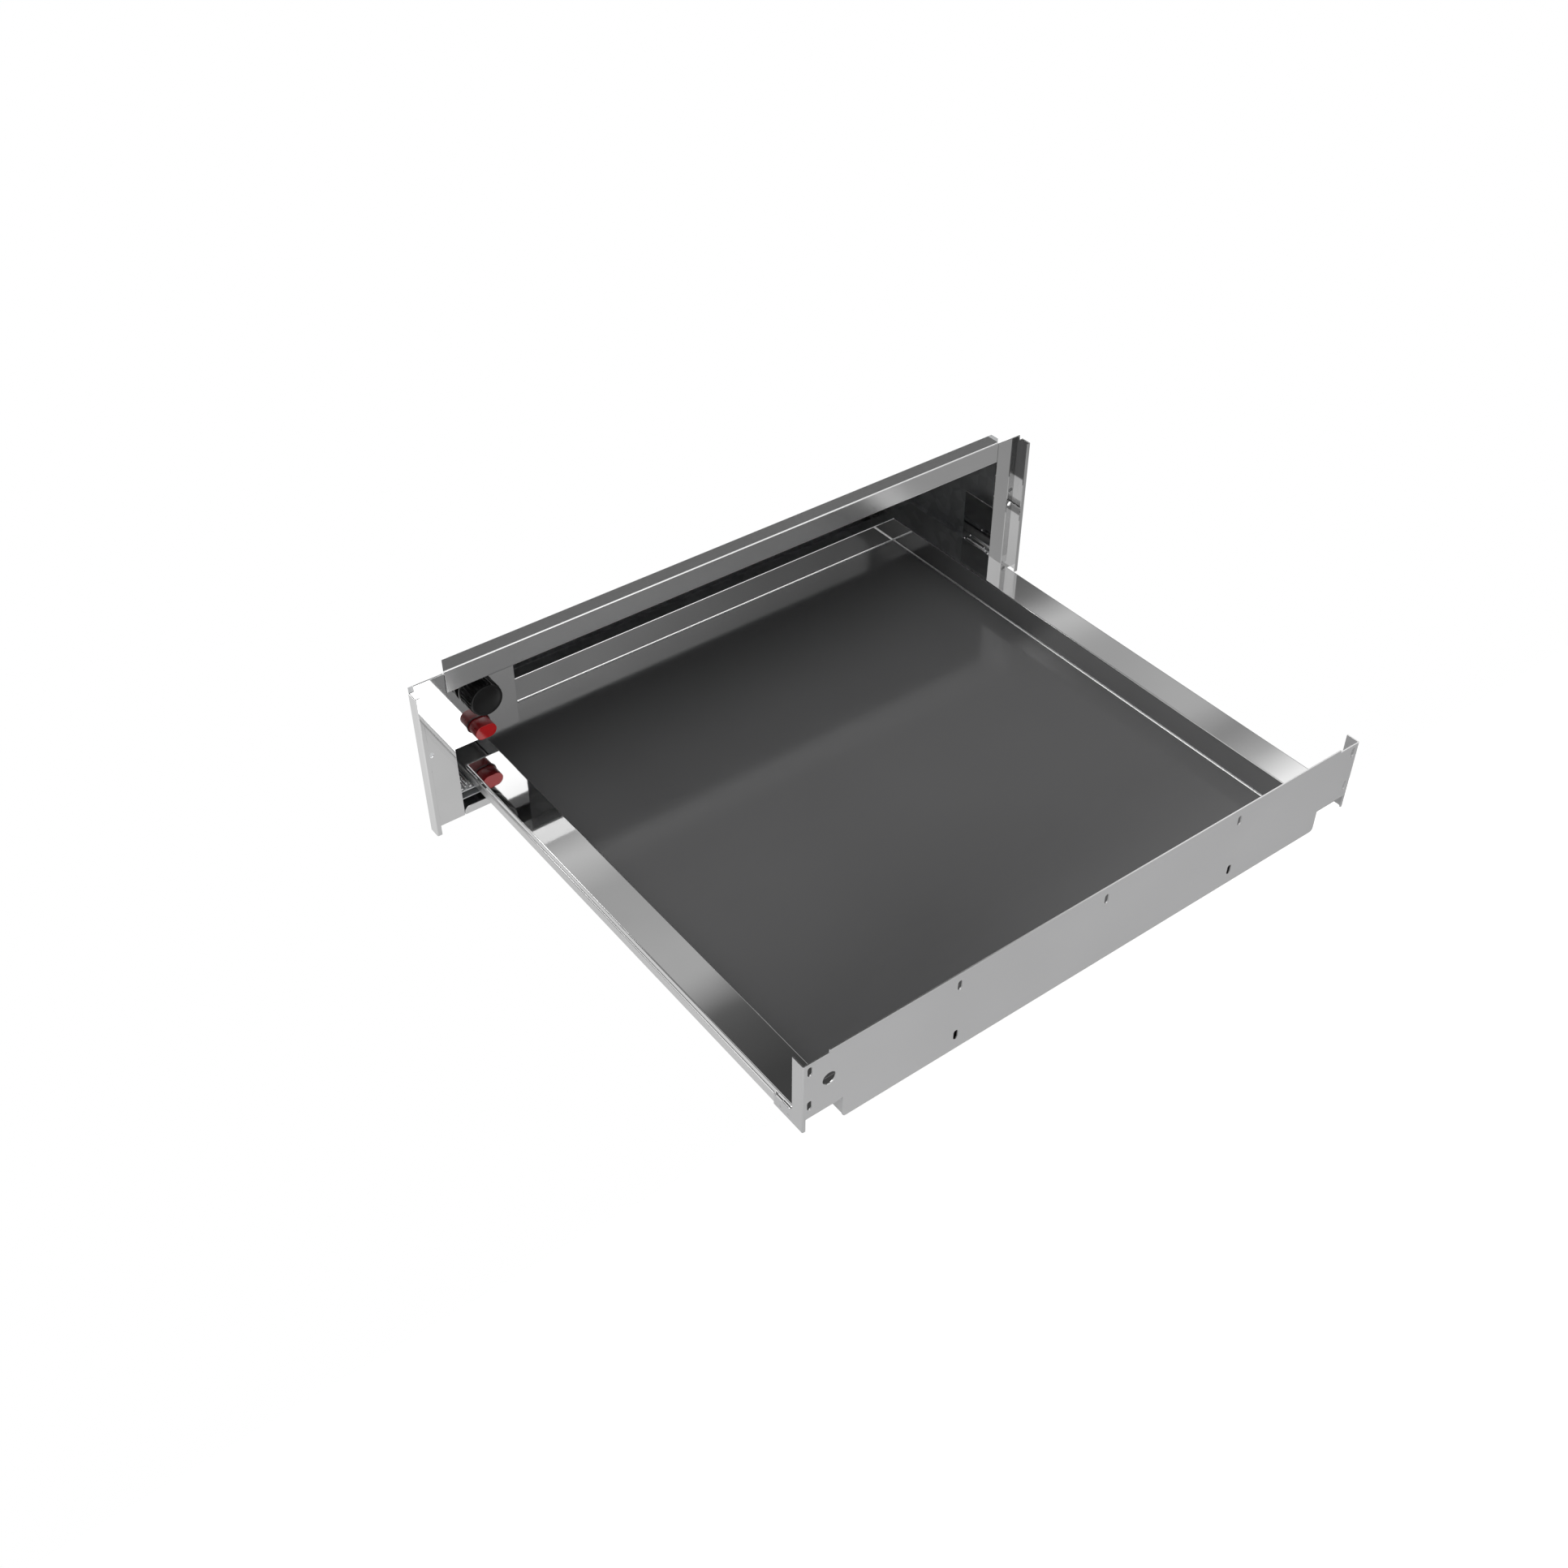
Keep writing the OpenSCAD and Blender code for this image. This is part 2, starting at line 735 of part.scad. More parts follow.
// Welded tray: floor, four walls, ledges all round, and the step in the left ledge
module tray_pan() {
    step_x = -ledge_x + notch_w;
    web_x = rail_x - member_in;
    fold_end = -web_x - member_web - run_gap;
    color("silver") difference() {
        union() {
            tub_body();
            ledge_body();
            block([step_x, notch_y, fold_z], [step_x + tray_t, tray_end, ledge_z]);
            block([-ledge_x, notch_y - tray_t, fold_z], [fold_end, notch_y, ledge_z]);
        }
        tub_inside();
        block([-ledge_x - over, notch_y, fold_z - over], [step_x, tray_end + over, ledge_z + over]);
    }
}

module floor_glass() {
    color("dimgray") block([-tray_x + glass_gap, tray_front + glass_gap, glass_z],
        [tray_x - glass_gap, tray_back - glass_gap, glass_z + glass_t]);
}

// Outline of the front plate and its apron
module front_outline() {
    translate([-front_x, front_low]) square([front_w, front_top - front_low]);
    translate([-front_x + step_in, front_low])
        square([front_w - 2 * step_in, front_top + front_step - front_low]);
    tub_outline(-apron_x, apron_x, apron_low, front_low + apron_r, apron_r);
}

module front_slots() {
    outer_x = front_x - slot_in;
    inner_x = outer_x - slot_step;
    inner_z = front_top - inner_drop;
    for (s = [-1, 1]) {
        for (z = [front_top - outer_drop, front_low + outer_rise]) translate([s * outer_x, z])
            obround(slot_w, slot_h);
        for (z = [inner_z, apron_low + inner_rise]) translate([s * inner_x, z]) obround(slot_w, slot_h);
    }
    translate([0, inner_z]) obround(slot_w, slot_h);
    translate([-control_x, button_z]) circle(d = window_d);
}

// Outline in Y and Z of the flange at the plate's end: an upright and a foot that runs back
module return_outline() {
    fillet = 4;
    nick_l = 7;
    nick_h = 0.8;
    difference() {
        union() {
            translate([front_back, foot_low]) square([return_d, front_top - foot_low]);
            translate([front_back, foot_low]) square([foot_l, foot_top - foot_low]);
            translate([front_back + return_d, foot_top]) square([fillet, fillet]);
        }
        translate([front_back + return_d + fillet, foot_top + fillet]) circle(r = fillet);
        translate([front_back + foot_l - 2 * nick_h - nick_l, foot_top - nick_h])
            square([nick_l, nick_h + over]);
    }
}

// Plate that takes the furniture front, bent back at its ends, with feet welded to the slides
module front_carrier() {
    tab_w = 2.5;
    apron_flange = 15;
    weld_d = 3;
    weld_in = 0.3;
    weld_step = 8;
    color("gray") difference() {
        union() {
            along_y(front_y, front_t) front_outline();
            for (s = [0, 1]) mirror([s, 0, 0]) {
                along_x(front_x - front_t, front_t) return_outline();
                block([front_x - tab_w, front_y, foot_low], [front_x, front_back, front_low]);
                block([apron_x - front_t, front_back, apron_low + apron_r],
                    [apron_x, front_y + apron_flange, fold_z - run_gap]);
            }
        }
        along_y(front_y - over, front_t + 2 * over) front_slots();
        for (s = [0, 1]) mirror([s, 0, 0]) {
            up_from(foot_low - over, front_top + front_step - foot_low + 2 * over) difference() {
                translate([front_x - front_t, front_y - over]) square([front_t + over, front_t + over]);
                translate([front_x - front_t, front_back]) circle(r = front_t);
            }
            for (i = [1, 2]) rod_x(front_x - weld_in, front_back + foot_l - i * weld_step,
                (foot_low + skirt_top) / 2, weld_d, weld_in + over);
        }
    }
}

// Controls

module button_outline(grow) {
    flat = 0.6;
    soft_rect(button_w + 2 * grow, button_h + 2 * grow, button_h / 2 - flat + grow);
}

// Recessed plate behind the knob and the button
module control_plate() {
    hole_gap = 0.6;
    color("silver") difference() {
        block([-plate_x, plate_y, plate_low], [-plate_edge, plate_y + plate_t, box_top]);
        rod_y(-control_x, plate_y - over, knob_z, knob_bore + 2 * hole_gap, plate_t + 2 * over);
        translate([-control_x, 0, button_z]) along_y(plate_y - over, plate_t + 2 * over)
            button_outline(hole_gap);
    }
}

// Cover round the back of the controls, open to the front, with a hole for the wires
module control_box() {
    box_y = plate_y + plate_t;
    wire_d = 8;
    color("gainsboro") difference() {
        block([-plate_x, box_y, plate_low], [-plate_edge, box_y + box_d, box_top]);
        block([-plate_x + plate_t, box_y - over, plate_low + plate_t],
            [-plate_edge - plate_t, box_y + box_d - plate_t, box_top + over]);
        rod_y(-plate_x + wire_d, box_y + box_d - plate_t - over, plate_low + 2 * wire_d, wire_d,
            plate_t + 2 * over);
    }
}

body_y = plate_y + plate_t;
thermostat_d = 24;
thermostat_w = 32;
bushing_d = 10;

// Capillary thermostat: a drum on a square base, with a bore for its shaft
module thermostat_body() {
    base_d = 5;
    base_r = 4;
    color("whitesmoke") difference() {
        union() {
            translate([-control_x, 0, knob_z]) along_y(body_y, base_d)
                soft_rect(thermostat_w, thermostat_w, base_r);
            rod_y(-control_x, body_y + base_d, knob_z, thermostat_w - base_r, thermostat_d - base_d);
            rod_y(-control_x, body_y + thermostat_d, knob_z, bushing_d, shell_t);
            blades_at(-control_x, body_y + thermostat_d, knob_z, bushing_d);
        }
        rod_y(-control_x, body_y - over, knob_z, knob_bore + 2 * shaft_gap, thermostat_d / 2 + over);
    }
}

module thermostat_shaft() {
    shaft_y = knob_y + knob_l / 2;
    color("silver") rod_y(-control_x, shaft_y, knob_z, knob_bore,
        body_y + thermostat_d / 2 - run_gap - shaft_y);
}

// Knob: ribbed barrel, smooth face with a shallow dish, and a rear skirt
module thermostat_knob() {
    skirt_l = 4;
    rib_d = 1.2;
    dish = 0.6;
    rim = 3 * rib_d;
    color([0.12, 0.12, 0.12]) difference() {
        union() {
            rod_y(-control_x, knob_y, knob_z, knob_d - rib_d, knob_l - skirt_l);
            rod_y(-control_x, knob_y + knob_l - skirt_l, knob_z, knob_d, skirt_l);
            rod_y(-control_x, knob_y + dish, knob_z, knob_d - rib_d / 2, 2 * rib_d);
            translate([-control_x, 0, knob_z]) along_y(knob_y + 2 * rib_d, knob_l - skirt_l - 2 * rib_d)
                for (i = [0:knob_ribs - 1]) rotate(i * 360 / knob_ribs)
                    translate([knob_d / 2 - rib_d, -rib_d / 2]) square([rib_d, rib_d]);
        }
        rod_y(-control_x, knob_y + knob_l / 2 - run_gap, knob_z, knob_bore + 2 * shaft_gap, knob_l);
        rod_y(-control_x, knob_y - over, knob_z, knob_d - 2 * rim, dish + over);
    }
}

// Sizes of the stem behind the button, and of its well in the switch
stem_in = 4;
stem_rise = 3;
stem_r = 2;

module switch_body() {
    wall = 1.5;
    pin_step = 5;
    well_w = button_w + 4 * run_gap;
    well_h = button_h + 4 * run_gap;
    color("darkslategray") difference() {
        union() {
            translate([-control_x, 0, button_z]) along_y(body_y, switch_d)
                soft_rect(well_w + 2 * wall, well_h + 2 * wall, stem_r);
            blades_at(-control_x, body_y + switch_d, button_z, pin_step);
        }
        translate([-control_x, 0, button_z]) along_y(body_y - over, switch_d - wall + over)
            soft_rect(well_w, well_h, stem_r);
    }
}

// Lens of the power button with its collar, and the stem behind it
module power_button() {
    button_out = plate_y - button_set;
    collar_t = 1.6;
    collar_y = plate_y - button_press - run_gap - collar_t;
    color("firebrick") translate([-control_x, 0, button_z]) {
        along_y(button_set, button_out + plate_t) button_outline(0);
        along_y(collar_y, collar_t) button_outline(collar_out);
        along_y(plate_y + plate_t, stem_l) soft_rect(button_w - stem_in, button_h - stem_rise, stem_r);
    }
}

// Hot air unit

// Radial impeller: back disc, hub, blades and a front ring
module fan_impeller() {
    vane_t = 1;
    vane_l = 14;
    vane_tilt = 25;
    hub_over = 2;
    hub_l = vane_w + hub_over;
    back_y = impeller_y + vane_w + disc_t;
    color("lightsteelblue") difference() {
        union() {
            rod_y(0, back_y, fan_z, impeller_d, disc_t);
            rod_y(0, back_y - hub_l + disc_t, fan_z, hub_d, hub_l);
            translate([0, 0, fan_z]) along_y(impeller_y + disc_t, vane_w) for (i = [0:blades - 1])
                rotate(i * 360 / blades) translate([impeller_d / 2 - vane_l, 0]) rotate(vane_tilt)
                    translate([0, -vane_t / 2]) square([vane_l - vane_t, vane_t]);
            difference() {
                rod_y(0, impeller_y, fan_z, impeller_d, disc_t);
                rod_y(0, impeller_y - over, fan_z, impeller_d - 2 * vane_l, disc_t + 2 * over);
            }
        }
        rod_y(0, impeller_y - over, fan_z, shaft_d + 2 * shaft_gap, fan_space);
    }
}

// How far the shaft's end lies inside the motor
shaft_in = 2;

module fan_shaft() {
    color("silver") rod_y(0, impeller_y + disc_t, fan_z, shaft_d,
        housing_d + motor_l - shaft_in - impeller_y - disc_t);
}

// Flat motor on the back panel, with a stepped cover, a bushing through the panel and three lugs
module fan_motor() {
    lug_out = 3;
    lug_r = motor_d / 2 + lug_out;
    cover_w = 3;
    end_t = 1.5;
    color("dimgray") difference() {
        union() {
            rod_y(0, housing_d, fan_z, motor_d, motor_l / 2);
            rod_y(0, housing_d, fan_z, motor_d - 2 * cover_w, motor_l);
            rod_y(0, housing_d - shell_t - bush_l, fan_z, hub_d, shell_t + bush_l);
            for (a = [90, 210, 330]) translate([lug_r * cos(a), 0, fan_z + lug_r * sin(a)])
                along_y(housing_d, shell_t) circle(d = hub_d / 2);
        }
        rod_y(0, housing_d - shell_t - bush_l - over, fan_z, shaft_d + 2 * shaft_gap,
            motor_l + shell_t + bush_l + over - end_t);
    }
}

// Tubular heater: one open ring round the impeller, two legs through the back panel and their pins
module heater_ring() {
    ring_y = impeller_y + vane_w / 2;
    leg_y = ring_y - leg_d / 2;
    leg_out = 3;
    pin_d = 2.6;
    pin_l = 5;
    gap_deg = 2 * asin(heater_leg / (heater_ring / 2));
    color("darkgray") {
        translate([0, ring_y, fan_z]) rotate([90, 0, 0]) rotate([0, 0, -90 + gap_deg / 2])
            rotate_extrude(angle = 360 - gap_deg) translate([heater_ring / 2, 0]) circle(d = heater_tube);
        for (s = [-1, 1]) {
            rod_y(s * heater_leg, leg_y, leg_z, leg_d, housing_d + leg_out - leg_y);
            rod_y(s * heater_leg, housing_d, leg_z, pin_d, leg_out + pin_l);
        }
    }
}

// Button thermostat on the inner rear wall, in the fan space
module overheat_cutout() {
    cut_gap = 44;
    cut_x = heater_ring / 2 + heater_tube + cut_gap;
    cut_y = rear_wall_y + shell_t;
    cap_d = 17;
    cap_l = 9;
    flange_l = 2;
    flange_out = 6;
    pin_step = 4;
    color("gainsboro") {
        rod_y(cut_x, cut_y, fan_z, cap_d, cap_l);
        translate([cut_x, 0, fan_z]) along_y(cut_y, flange_l)
            obround(cap_d + 2 * flange_out, cap_d - flange_out);
        blades_at(cut_x, cut_y + cap_l, fan_z, pin_step);
    }
}

// Capillary probe of the thermostat in two clips on the inner rear wall
module temperature_probe() {
    probe_d = 5;
    probe_l = 120;
    probe_rise = 6;
    probe_z = fan_z + impeller_d / 2 + probe_rise;
    clip_w = 8;
    clip_x = probe_l / 3;
    seat = rear_wall_y - probe_d / 2 - shell_t;
    color("silver") rod_x(-probe_l / 2, seat, probe_z, probe_d, probe_l);
    color("silver") for (s = [-1, 1]) difference() {
        block([s * clip_x - clip_w / 2, seat - probe_d / 2 - shell_t, probe_z - probe_d / 2 - shell_t],
            [s * clip_x + clip_w / 2, rear_wall_y, probe_z + probe_d / 2 + shell_t]);
        rod_x(s * clip_x - clip_w, seat, probe_z, probe_d + 2 * shaft_gap, 2 * clip_w);
    }
}

// Three-way terminal block on the base, next to the cable inlet
module terminal_block() {
    ways = 3;
    way_w = 9;
    deep = 15;
    high = 15;
    well_d = 5;
    left = -inlet_x - ways * way_w / 2;
    term_y = rear_wall_y + shell_t + impeller_gap;
    color("ivory") difference() {
        block([left, term_y, shell_t], [left + ways * way_w, term_y + deep, shell_t + high]);
        for (i = [0:ways - 1]) translate([left + (i + 0.5) * way_w, term_y + deep / 2, shell_t + high / 2])
            cylinder(d = well_d, h = high);
    }
}

// Bare inlet bush in the back panel
module cable_inlet() {
    bore = 8;
    rim = 3;
    color([0.1, 0.1, 0.1]) difference() {
        union() {
            rod_y(-inlet_x, housing_d - shell_t - rim, inlet_z, inlet_d - 2 * shaft_gap, shell_t + 2 * rim);
            rod_y(-inlet_x, housing_d, inlet_z, inlet_d + 2 * rim, rim);
        }
        rod_y(-inlet_x, housing_d - shell_t - rim - over, inlet_z, bore, shell_t + 2 * rim + 2 * over);
    }
}

// Rubber buffers on the inner rear wall, which the fold at the closed tray's back meets
module tray_buffers() {
    buffer_d = 12;
    buffer_set = 77;
    color([0.15, 0.15, 0.15]) for (s = [-1, 1])
        rod_y(s * (tray_x - buffer_set), rear_wall_y - buffer_l, (fold_z + ledge_z) / 2, buffer_d, buffer_l);
}

// Flat heads along the roof's edges and screws in the corners of the back panel
module housing_screws() {
    row_count = 4;
    edge_head = 0.6;
    back_head = 1.6;
    head_d = 7;
    corner = 12;
    color("silver") {
        for (s = [0, 1], i = [0:row_count - 1]) mirror([s, 0, 0])
            rod_x(wall_x + shell_t, (i + 0.5) * housing_d / row_count, housing_h - head_d / 2 - shell_t,
                head_d, edge_head);
        for (s = [-1, 1], z = [corner, housing_h - corner])
            rod_y(s * (wall_x - corner), housing_d, z, head_d, back_head);
    }
}

// Flat screw heads inside the fixed rails
module rail_screws() {
    row_count = 4;
    head_d = 6;
    head = 0.7;
    color("silver") for (s = [0, 1], i = [0:row_count - 1]) mirror([s, 0, 0])
        rod_x(rail_x - rail_t - head, rail_y + (i + 0.5) * rail_l / row_count, slide_z, head_d, head);
}

frame_left();
frame_right();
top_bar();
sill();
base_pan();
side_wall_left();
side_wall_right();
roof_panel();
back_panel();
inner_rear_wall();
rail_bracket_left();
rail_bracket_right();
slide_rail_left();
slide_rail_right();
ball_cage_left();
ball_cage_right();
slide_balls_left();
slide_balls_right();
slide_member_left();
slide_member_right();
tray_pan();
floor_glass();
front_carrier();
control_plate();
control_box();
thermostat_body();
thermostat_shaft();
thermostat_knob();
switch_body();
power_button();
fan_motor();
fan_shaft();
fan_impeller();
heater_ring();
overheat_cutout();
temperature_probe();
terminal_block();
cable_inlet();
tray_buffers();
housing_screws();
rail_screws();
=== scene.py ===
import json
import math

import bmesh
import bpy
from mathutils import Euler, Matrix, Vector


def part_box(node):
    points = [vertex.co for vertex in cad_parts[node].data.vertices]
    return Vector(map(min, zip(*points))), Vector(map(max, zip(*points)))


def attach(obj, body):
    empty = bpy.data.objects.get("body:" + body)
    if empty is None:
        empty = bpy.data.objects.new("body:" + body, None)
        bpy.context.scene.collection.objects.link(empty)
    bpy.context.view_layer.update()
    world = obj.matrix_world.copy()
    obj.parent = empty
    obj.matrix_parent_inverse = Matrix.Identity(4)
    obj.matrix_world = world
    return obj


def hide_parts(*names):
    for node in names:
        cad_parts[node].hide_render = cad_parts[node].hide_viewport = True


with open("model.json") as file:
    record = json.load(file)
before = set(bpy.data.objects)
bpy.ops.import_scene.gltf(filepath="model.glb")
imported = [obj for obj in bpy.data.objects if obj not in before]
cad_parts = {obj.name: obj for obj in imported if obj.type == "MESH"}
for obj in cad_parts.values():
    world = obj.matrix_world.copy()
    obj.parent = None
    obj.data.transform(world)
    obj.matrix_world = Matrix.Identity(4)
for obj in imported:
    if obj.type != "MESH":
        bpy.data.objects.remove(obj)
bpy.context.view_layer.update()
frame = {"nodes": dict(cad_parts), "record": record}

bl_info = {
    "name": "Built in warming drawer",
    "version": (1, 0, 0),
    "blender": (4, 5, 0),
    "location": "View3D > Sidebar > Drawer",
    "description": "Finishes the sheet metal, controls and slides of a built in warming drawer",
    "category": "Object",
}

# Body and material slot of each node, from the record
BODIES = {node: body for body, nodes in frame["record"]["behaviour"]["bodies"].items() for node in nodes}
SLOTS = {part["node"]: part["material_slot"] for part in frame["record"]["subparts"]}

# Nodes that stay as they are: round already, or with true bend radii of their own
KEPT_SHARP = ("slide_balls_left", "slide_balls_right", "heater_ring", "tray_pan", "top_bar")

# Points closer than this are one point, on a new piece and on the loose triangles of a CAD node
WELD = 0.000001
CAD_WELD = 0.000005


# Settings

class DrawerSettings(bpy.types.PropertyGroup):
    """Sizes and colours of the drawer's pieces"""

    steel_colour: bpy.props.FloatVectorProperty(
        name="Steel colour", description="Colour of the polished steel sheet",
        default=(0.80, 0.80, 0.80), min=0.0, max=1.0, subtype="COLOR")
    coating_colour: bpy.props.FloatVectorProperty(
        name="Coating colour", description="Colour of the coating on the front plate",
        default=(0.58, 0.58, 0.585), min=0.0, max=1.0, subtype="COLOR")
    glass_colour: bpy.props.FloatVectorProperty(
        name="Glass colour", description="Colour of the dark glass plate on the tray's floor",
        default=(0.0775, 0.0775, 0.0785), min=0.0, max=1.0, subtype="COLOR")
    edge_radius: bpy.props.FloatProperty(
        name="Sheet edge radius", description="Radius along the edges of the sheet metal",
        default=0.00045, min=0.0, max=0.0005, unit="LENGTH")

    bead_width: bpy.props.FloatProperty(
        name="Bead width", description="Width of the bead round the glass floor plate",
        default=0.0012, min=0.0008, max=0.0015, unit="LENGTH")
    bead_rise: bpy.props.FloatProperty(
        name="Bead rise", description="How far the bead rises on the tray's walls",
        default=0.0009, min=0.0, max=0.002, unit="LENGTH")
    bead_colour: bpy.props.FloatVectorProperty(
        name="Bead colour", description="Colour of the bead round the glass floor plate",
        default=(0.75, 0.75, 0.75), min=0.0, max=1.0, subtype="COLOR")
    channel_edge: bpy.props.FloatProperty(
        name="Channel edge", description="Height of the two edges that the apron channel turns up",
        default=0.006, min=0.003, max=0.008, unit="LENGTH")

    knob_ribs: bpy.props.IntProperty(
        name="Knob ribs", description="Number of ribs round the knob", default=28, min=12, max=48)
    knob_rib_height: bpy.props.FloatProperty(
        name="Rib height", description="How far the knob's skirt stands out, just past its ribs",
        default=0.0008, min=0.0004, max=0.0012, unit="LENGTH")
    knob_rim: bpy.props.FloatProperty(
        name="Knob rim", description="Width of the smooth rim round the knob's dished face",
        default=0.0018, min=0.001, max=0.003, unit="LENGTH")
    knob_skirt: bpy.props.FloatProperty(
        name="Knob skirt", description="Length of the wider skirt at the foot of the knob",
        default=0.004, min=0.002, max=0.006, unit="LENGTH")
    knob_colour: bpy.props.FloatVectorProperty(
        name="Knob colour", description="Colour of the knob's plastic",
        default=(0.004, 0.004, 0.004), min=0.0, max=1.0, subtype="COLOR")

    lens_face: bpy.props.FloatVectorProperty(
        name="Lens face", description="Colour of the red lens seen from its front",
        default=(0.40, 0.004, 0.006), min=0.0, max=1.0, subtype="COLOR")
    # Painted shade: the lens's sides and stem take a darker copy of the face's red, about half as bright
    lens_shaded_side: bpy.props.FloatVectorProperty(
        name="Lens side", description="Colour of the red lens seen from its side",
        default=(0.20, 0.002, 0.004), min=0.0, max=1.0, subtype="COLOR")
    bezel_height: bpy.props.FloatProperty(
        name="Bezel height", description="How far the ring round the button stands out from the plate",
        default=0.0009, min=0.0005, max=0.0015, unit="LENGTH")
    bezel_colour: bpy.props.FloatVectorProperty(
        name="Bezel colour", description="Colour of the ring round the button",
        default=(0.05, 0.002, 0.003), min=0.0, max=1.0, subtype="COLOR")

    spring_radius: bpy.props.FloatProperty(
        name="Spring radius", description="Outer radius of the closing springs",
        default=0.0017, min=0.0015, max=0.0017, unit="LENGTH")
    spring_wire: bpy.props.FloatProperty(
        name="Spring wire", description="Radius of the wire of the closing springs",
        default=0.00045, min=0.0003, max=0.0005, unit="LENGTH")
    spring_length: bpy.props.FloatProperty(
        name="Spring length", description="Length of each closing spring with its hooks",
        default=0.03, min=0.02, max=0.032, unit="LENGTH")
    spring_coils: bpy.props.IntProperty(
        name="Spring coils", description="Number of coils of each closing spring", default=15, min=8, max=24)


class StudioSettings(bpy.types.PropertyGroup):
    """Camera and floor of the studio"""

    lens: bpy.props.FloatProperty(
        name="Focal length", description="Focal length of the camera in millimetres",
        default=41.36, min=20.0, max=100.0, unit="CAMERA")
    camera_place: bpy.props.FloatVectorProperty(
        name="Camera place", description="Where the camera stands",
        default=(-0.694956, -0.97405, 0.929752), unit="LENGTH", subtype="XYZ")
    camera_turn: bpy.props.FloatVectorProperty(
        name="Camera turn", description="Turn of the camera about X, Y and Z",
        default=(math.radians(49.016), math.radians(-0.052), math.radians(-36.972)), subtype="EULER")
    floor_level: bpy.props.FloatProperty(
        name="Floor level", description="Height of the studio floor, from the drawer's underside",
        default=-0.6, unit="LENGTH")


# Parts of a material

def new_material(name):
    """A node material, its tree and its Principled shader."""
    material = bpy.data.materials.new(name)
    material.use_nodes = True
    tree = material.node_tree
    return material, tree, tree.nodes["Principled BSDF"]


def add_node(tree, kind, **values):
    """A node, with its properties and inputs set by name."""
    node = tree.nodes.new(kind)
    for key, value in values.items():
        if hasattr(node, key):
            setattr(node, key, value)
        else:
            node.inputs[key.replace("_", " ")].default_value = value
    return node


def place_pattern(tree, scale=(1, 1, 1)):
    """Object coordinates, stretched by a Mapping node."""
    coordinates = add_node(tree, "ShaderNodeTexCoord")
    mapping = add_node(tree, "ShaderNodeMapping", Scale=scale)
    tree.links.new(coordinates.outputs["Object"], mapping.inputs["Vector"])
    return mapping.outputs["Vector"]


def noise(tree, scale, detail, stretch=(1, 1, 1)):
    """A noise pattern over the piece."""
    node = add_node(tree, "ShaderNodeTexNoise", Scale=scale, Detail=detail, Roughness=0.55)
    tree.links.new(place_pattern(tree, stretch), node.inputs["Vector"])
    return node.outputs["Fac"]


def spread(tree, value, low, high, start=0.3, end=0.7):
    """A value between low and high, as a pattern goes from start to end."""
    node = add_node(tree, "ShaderNodeMapRange", From_Min=start, From_Max=end, To_Min=low, To_Max=high)
    tree.links.new(value, node.inputs["Value"])
    return node.outputs["Result"]


def shade(colour, gain):
    """A colour made darker or lighter."""
    return tuple(min(1.0, max(0.0, channel * gain)) for channel in colour)


def two_tones(tree, value, dark, light, start=0.3, end=0.7):
    """A colour between two tones, as a pattern goes from start to end."""
    ramp = add_node(tree, "ShaderNodeValToRGB")
    for stop, position, colour in zip(ramp.color_ramp.elements, (start, end), (dark, light)):
        stop.position = position
        stop.color = (*colour, 1)
    tree.links.new(value, ramp.inputs["Fac"])
    return ramp.outputs["Color"]


def bump(tree, shader, height, strength, distance):
    """Raises the surface by a pattern."""
    node = add_node(tree, "ShaderNodeBump", Strength=strength, Distance=distance)
    tree.links.new(height, node.inputs["Height"])
    tree.links.new(node.outputs["Normal"], shader.inputs["Normal"])


def coat(tree, shader, colour, roughness):
    """Gives the shader its colour and its roughness."""
    tree.links.new(colour, shader.inputs["Base Color"])
    tree.links.new(roughness, shader.inputs["Roughness"])


def mix_shaders(tree, share, first, second, output):
    """Sends a mix of two shaders to the material's or world's output."""
    mix = add_node(tree, "ShaderNodeMixShader")
    tree.links.new(share, mix.inputs["Fac"])
    tree.links.new(first.outputs[0], mix.inputs[1])
    tree.links.new(second.outputs[0], mix.inputs[2])
    tree.links.new(mix.outputs["Shader"], tree.nodes[output].inputs["Surface"])


# Finishes

def sheet_steel(name, colour, roughness, grain=(1, 1, 1), waviness=0.0):
    """Steel sheet: a fine grain along the rolling, faint clouds, and a slow waviness where it is polished."""
    material, tree, shader = new_material(name)
    shader.inputs["Metallic"].default_value = 1.0
    fine = noise(tree, scale=900.0, detail=3.0, stretch=grain)
    cloud = noise(tree, scale=9.0, detail=3.0)
    coat(tree, shader, two_tones(tree, cloud, shade(colour, 0.95), shade(colour, 1.04)),
         spread(tree, fine, roughness * 0.8, roughness * 1.3))
    if waviness:
        bump(tree, shader, noise(tree, scale=14.0, detail=1.0), waviness, distance=0.004)
    else:
        bump(tree, shader, fine, strength=0.02, distance=0.0004)
    return material


def galvanised_steel(name, metallic, gain=1.0):
    """Zinc coated sheet with its spangle: each crystal has a tone and a gloss of its own."""
    material, tree, shader = new_material(name)
    shader.inputs["Metallic"].default_value = metallic
    crystals = add_node(tree, "ShaderNodeTexVoronoi", Scale=110.0)
    tree.links.new(place_pattern(tree), crystals.inputs["Vector"])
    crystal = add_node(tree, "ShaderNodeSeparateColor")
    tree.links.new(crystals.outputs["Color"], crystal.inputs["Color"])
    dark, light = shade((0.60, 0.61, 0.62), gain), shade((0.74, 0.75, 0.76), gain)
    coat(tree, shader, two_tones(tree, crystal.outputs["Red"], dark, light, start=0.0, end=1.0),
         spread(tree, crystal.outputs["Green"], 0.34, 0.5, start=0.0, end=1.0))
    return material


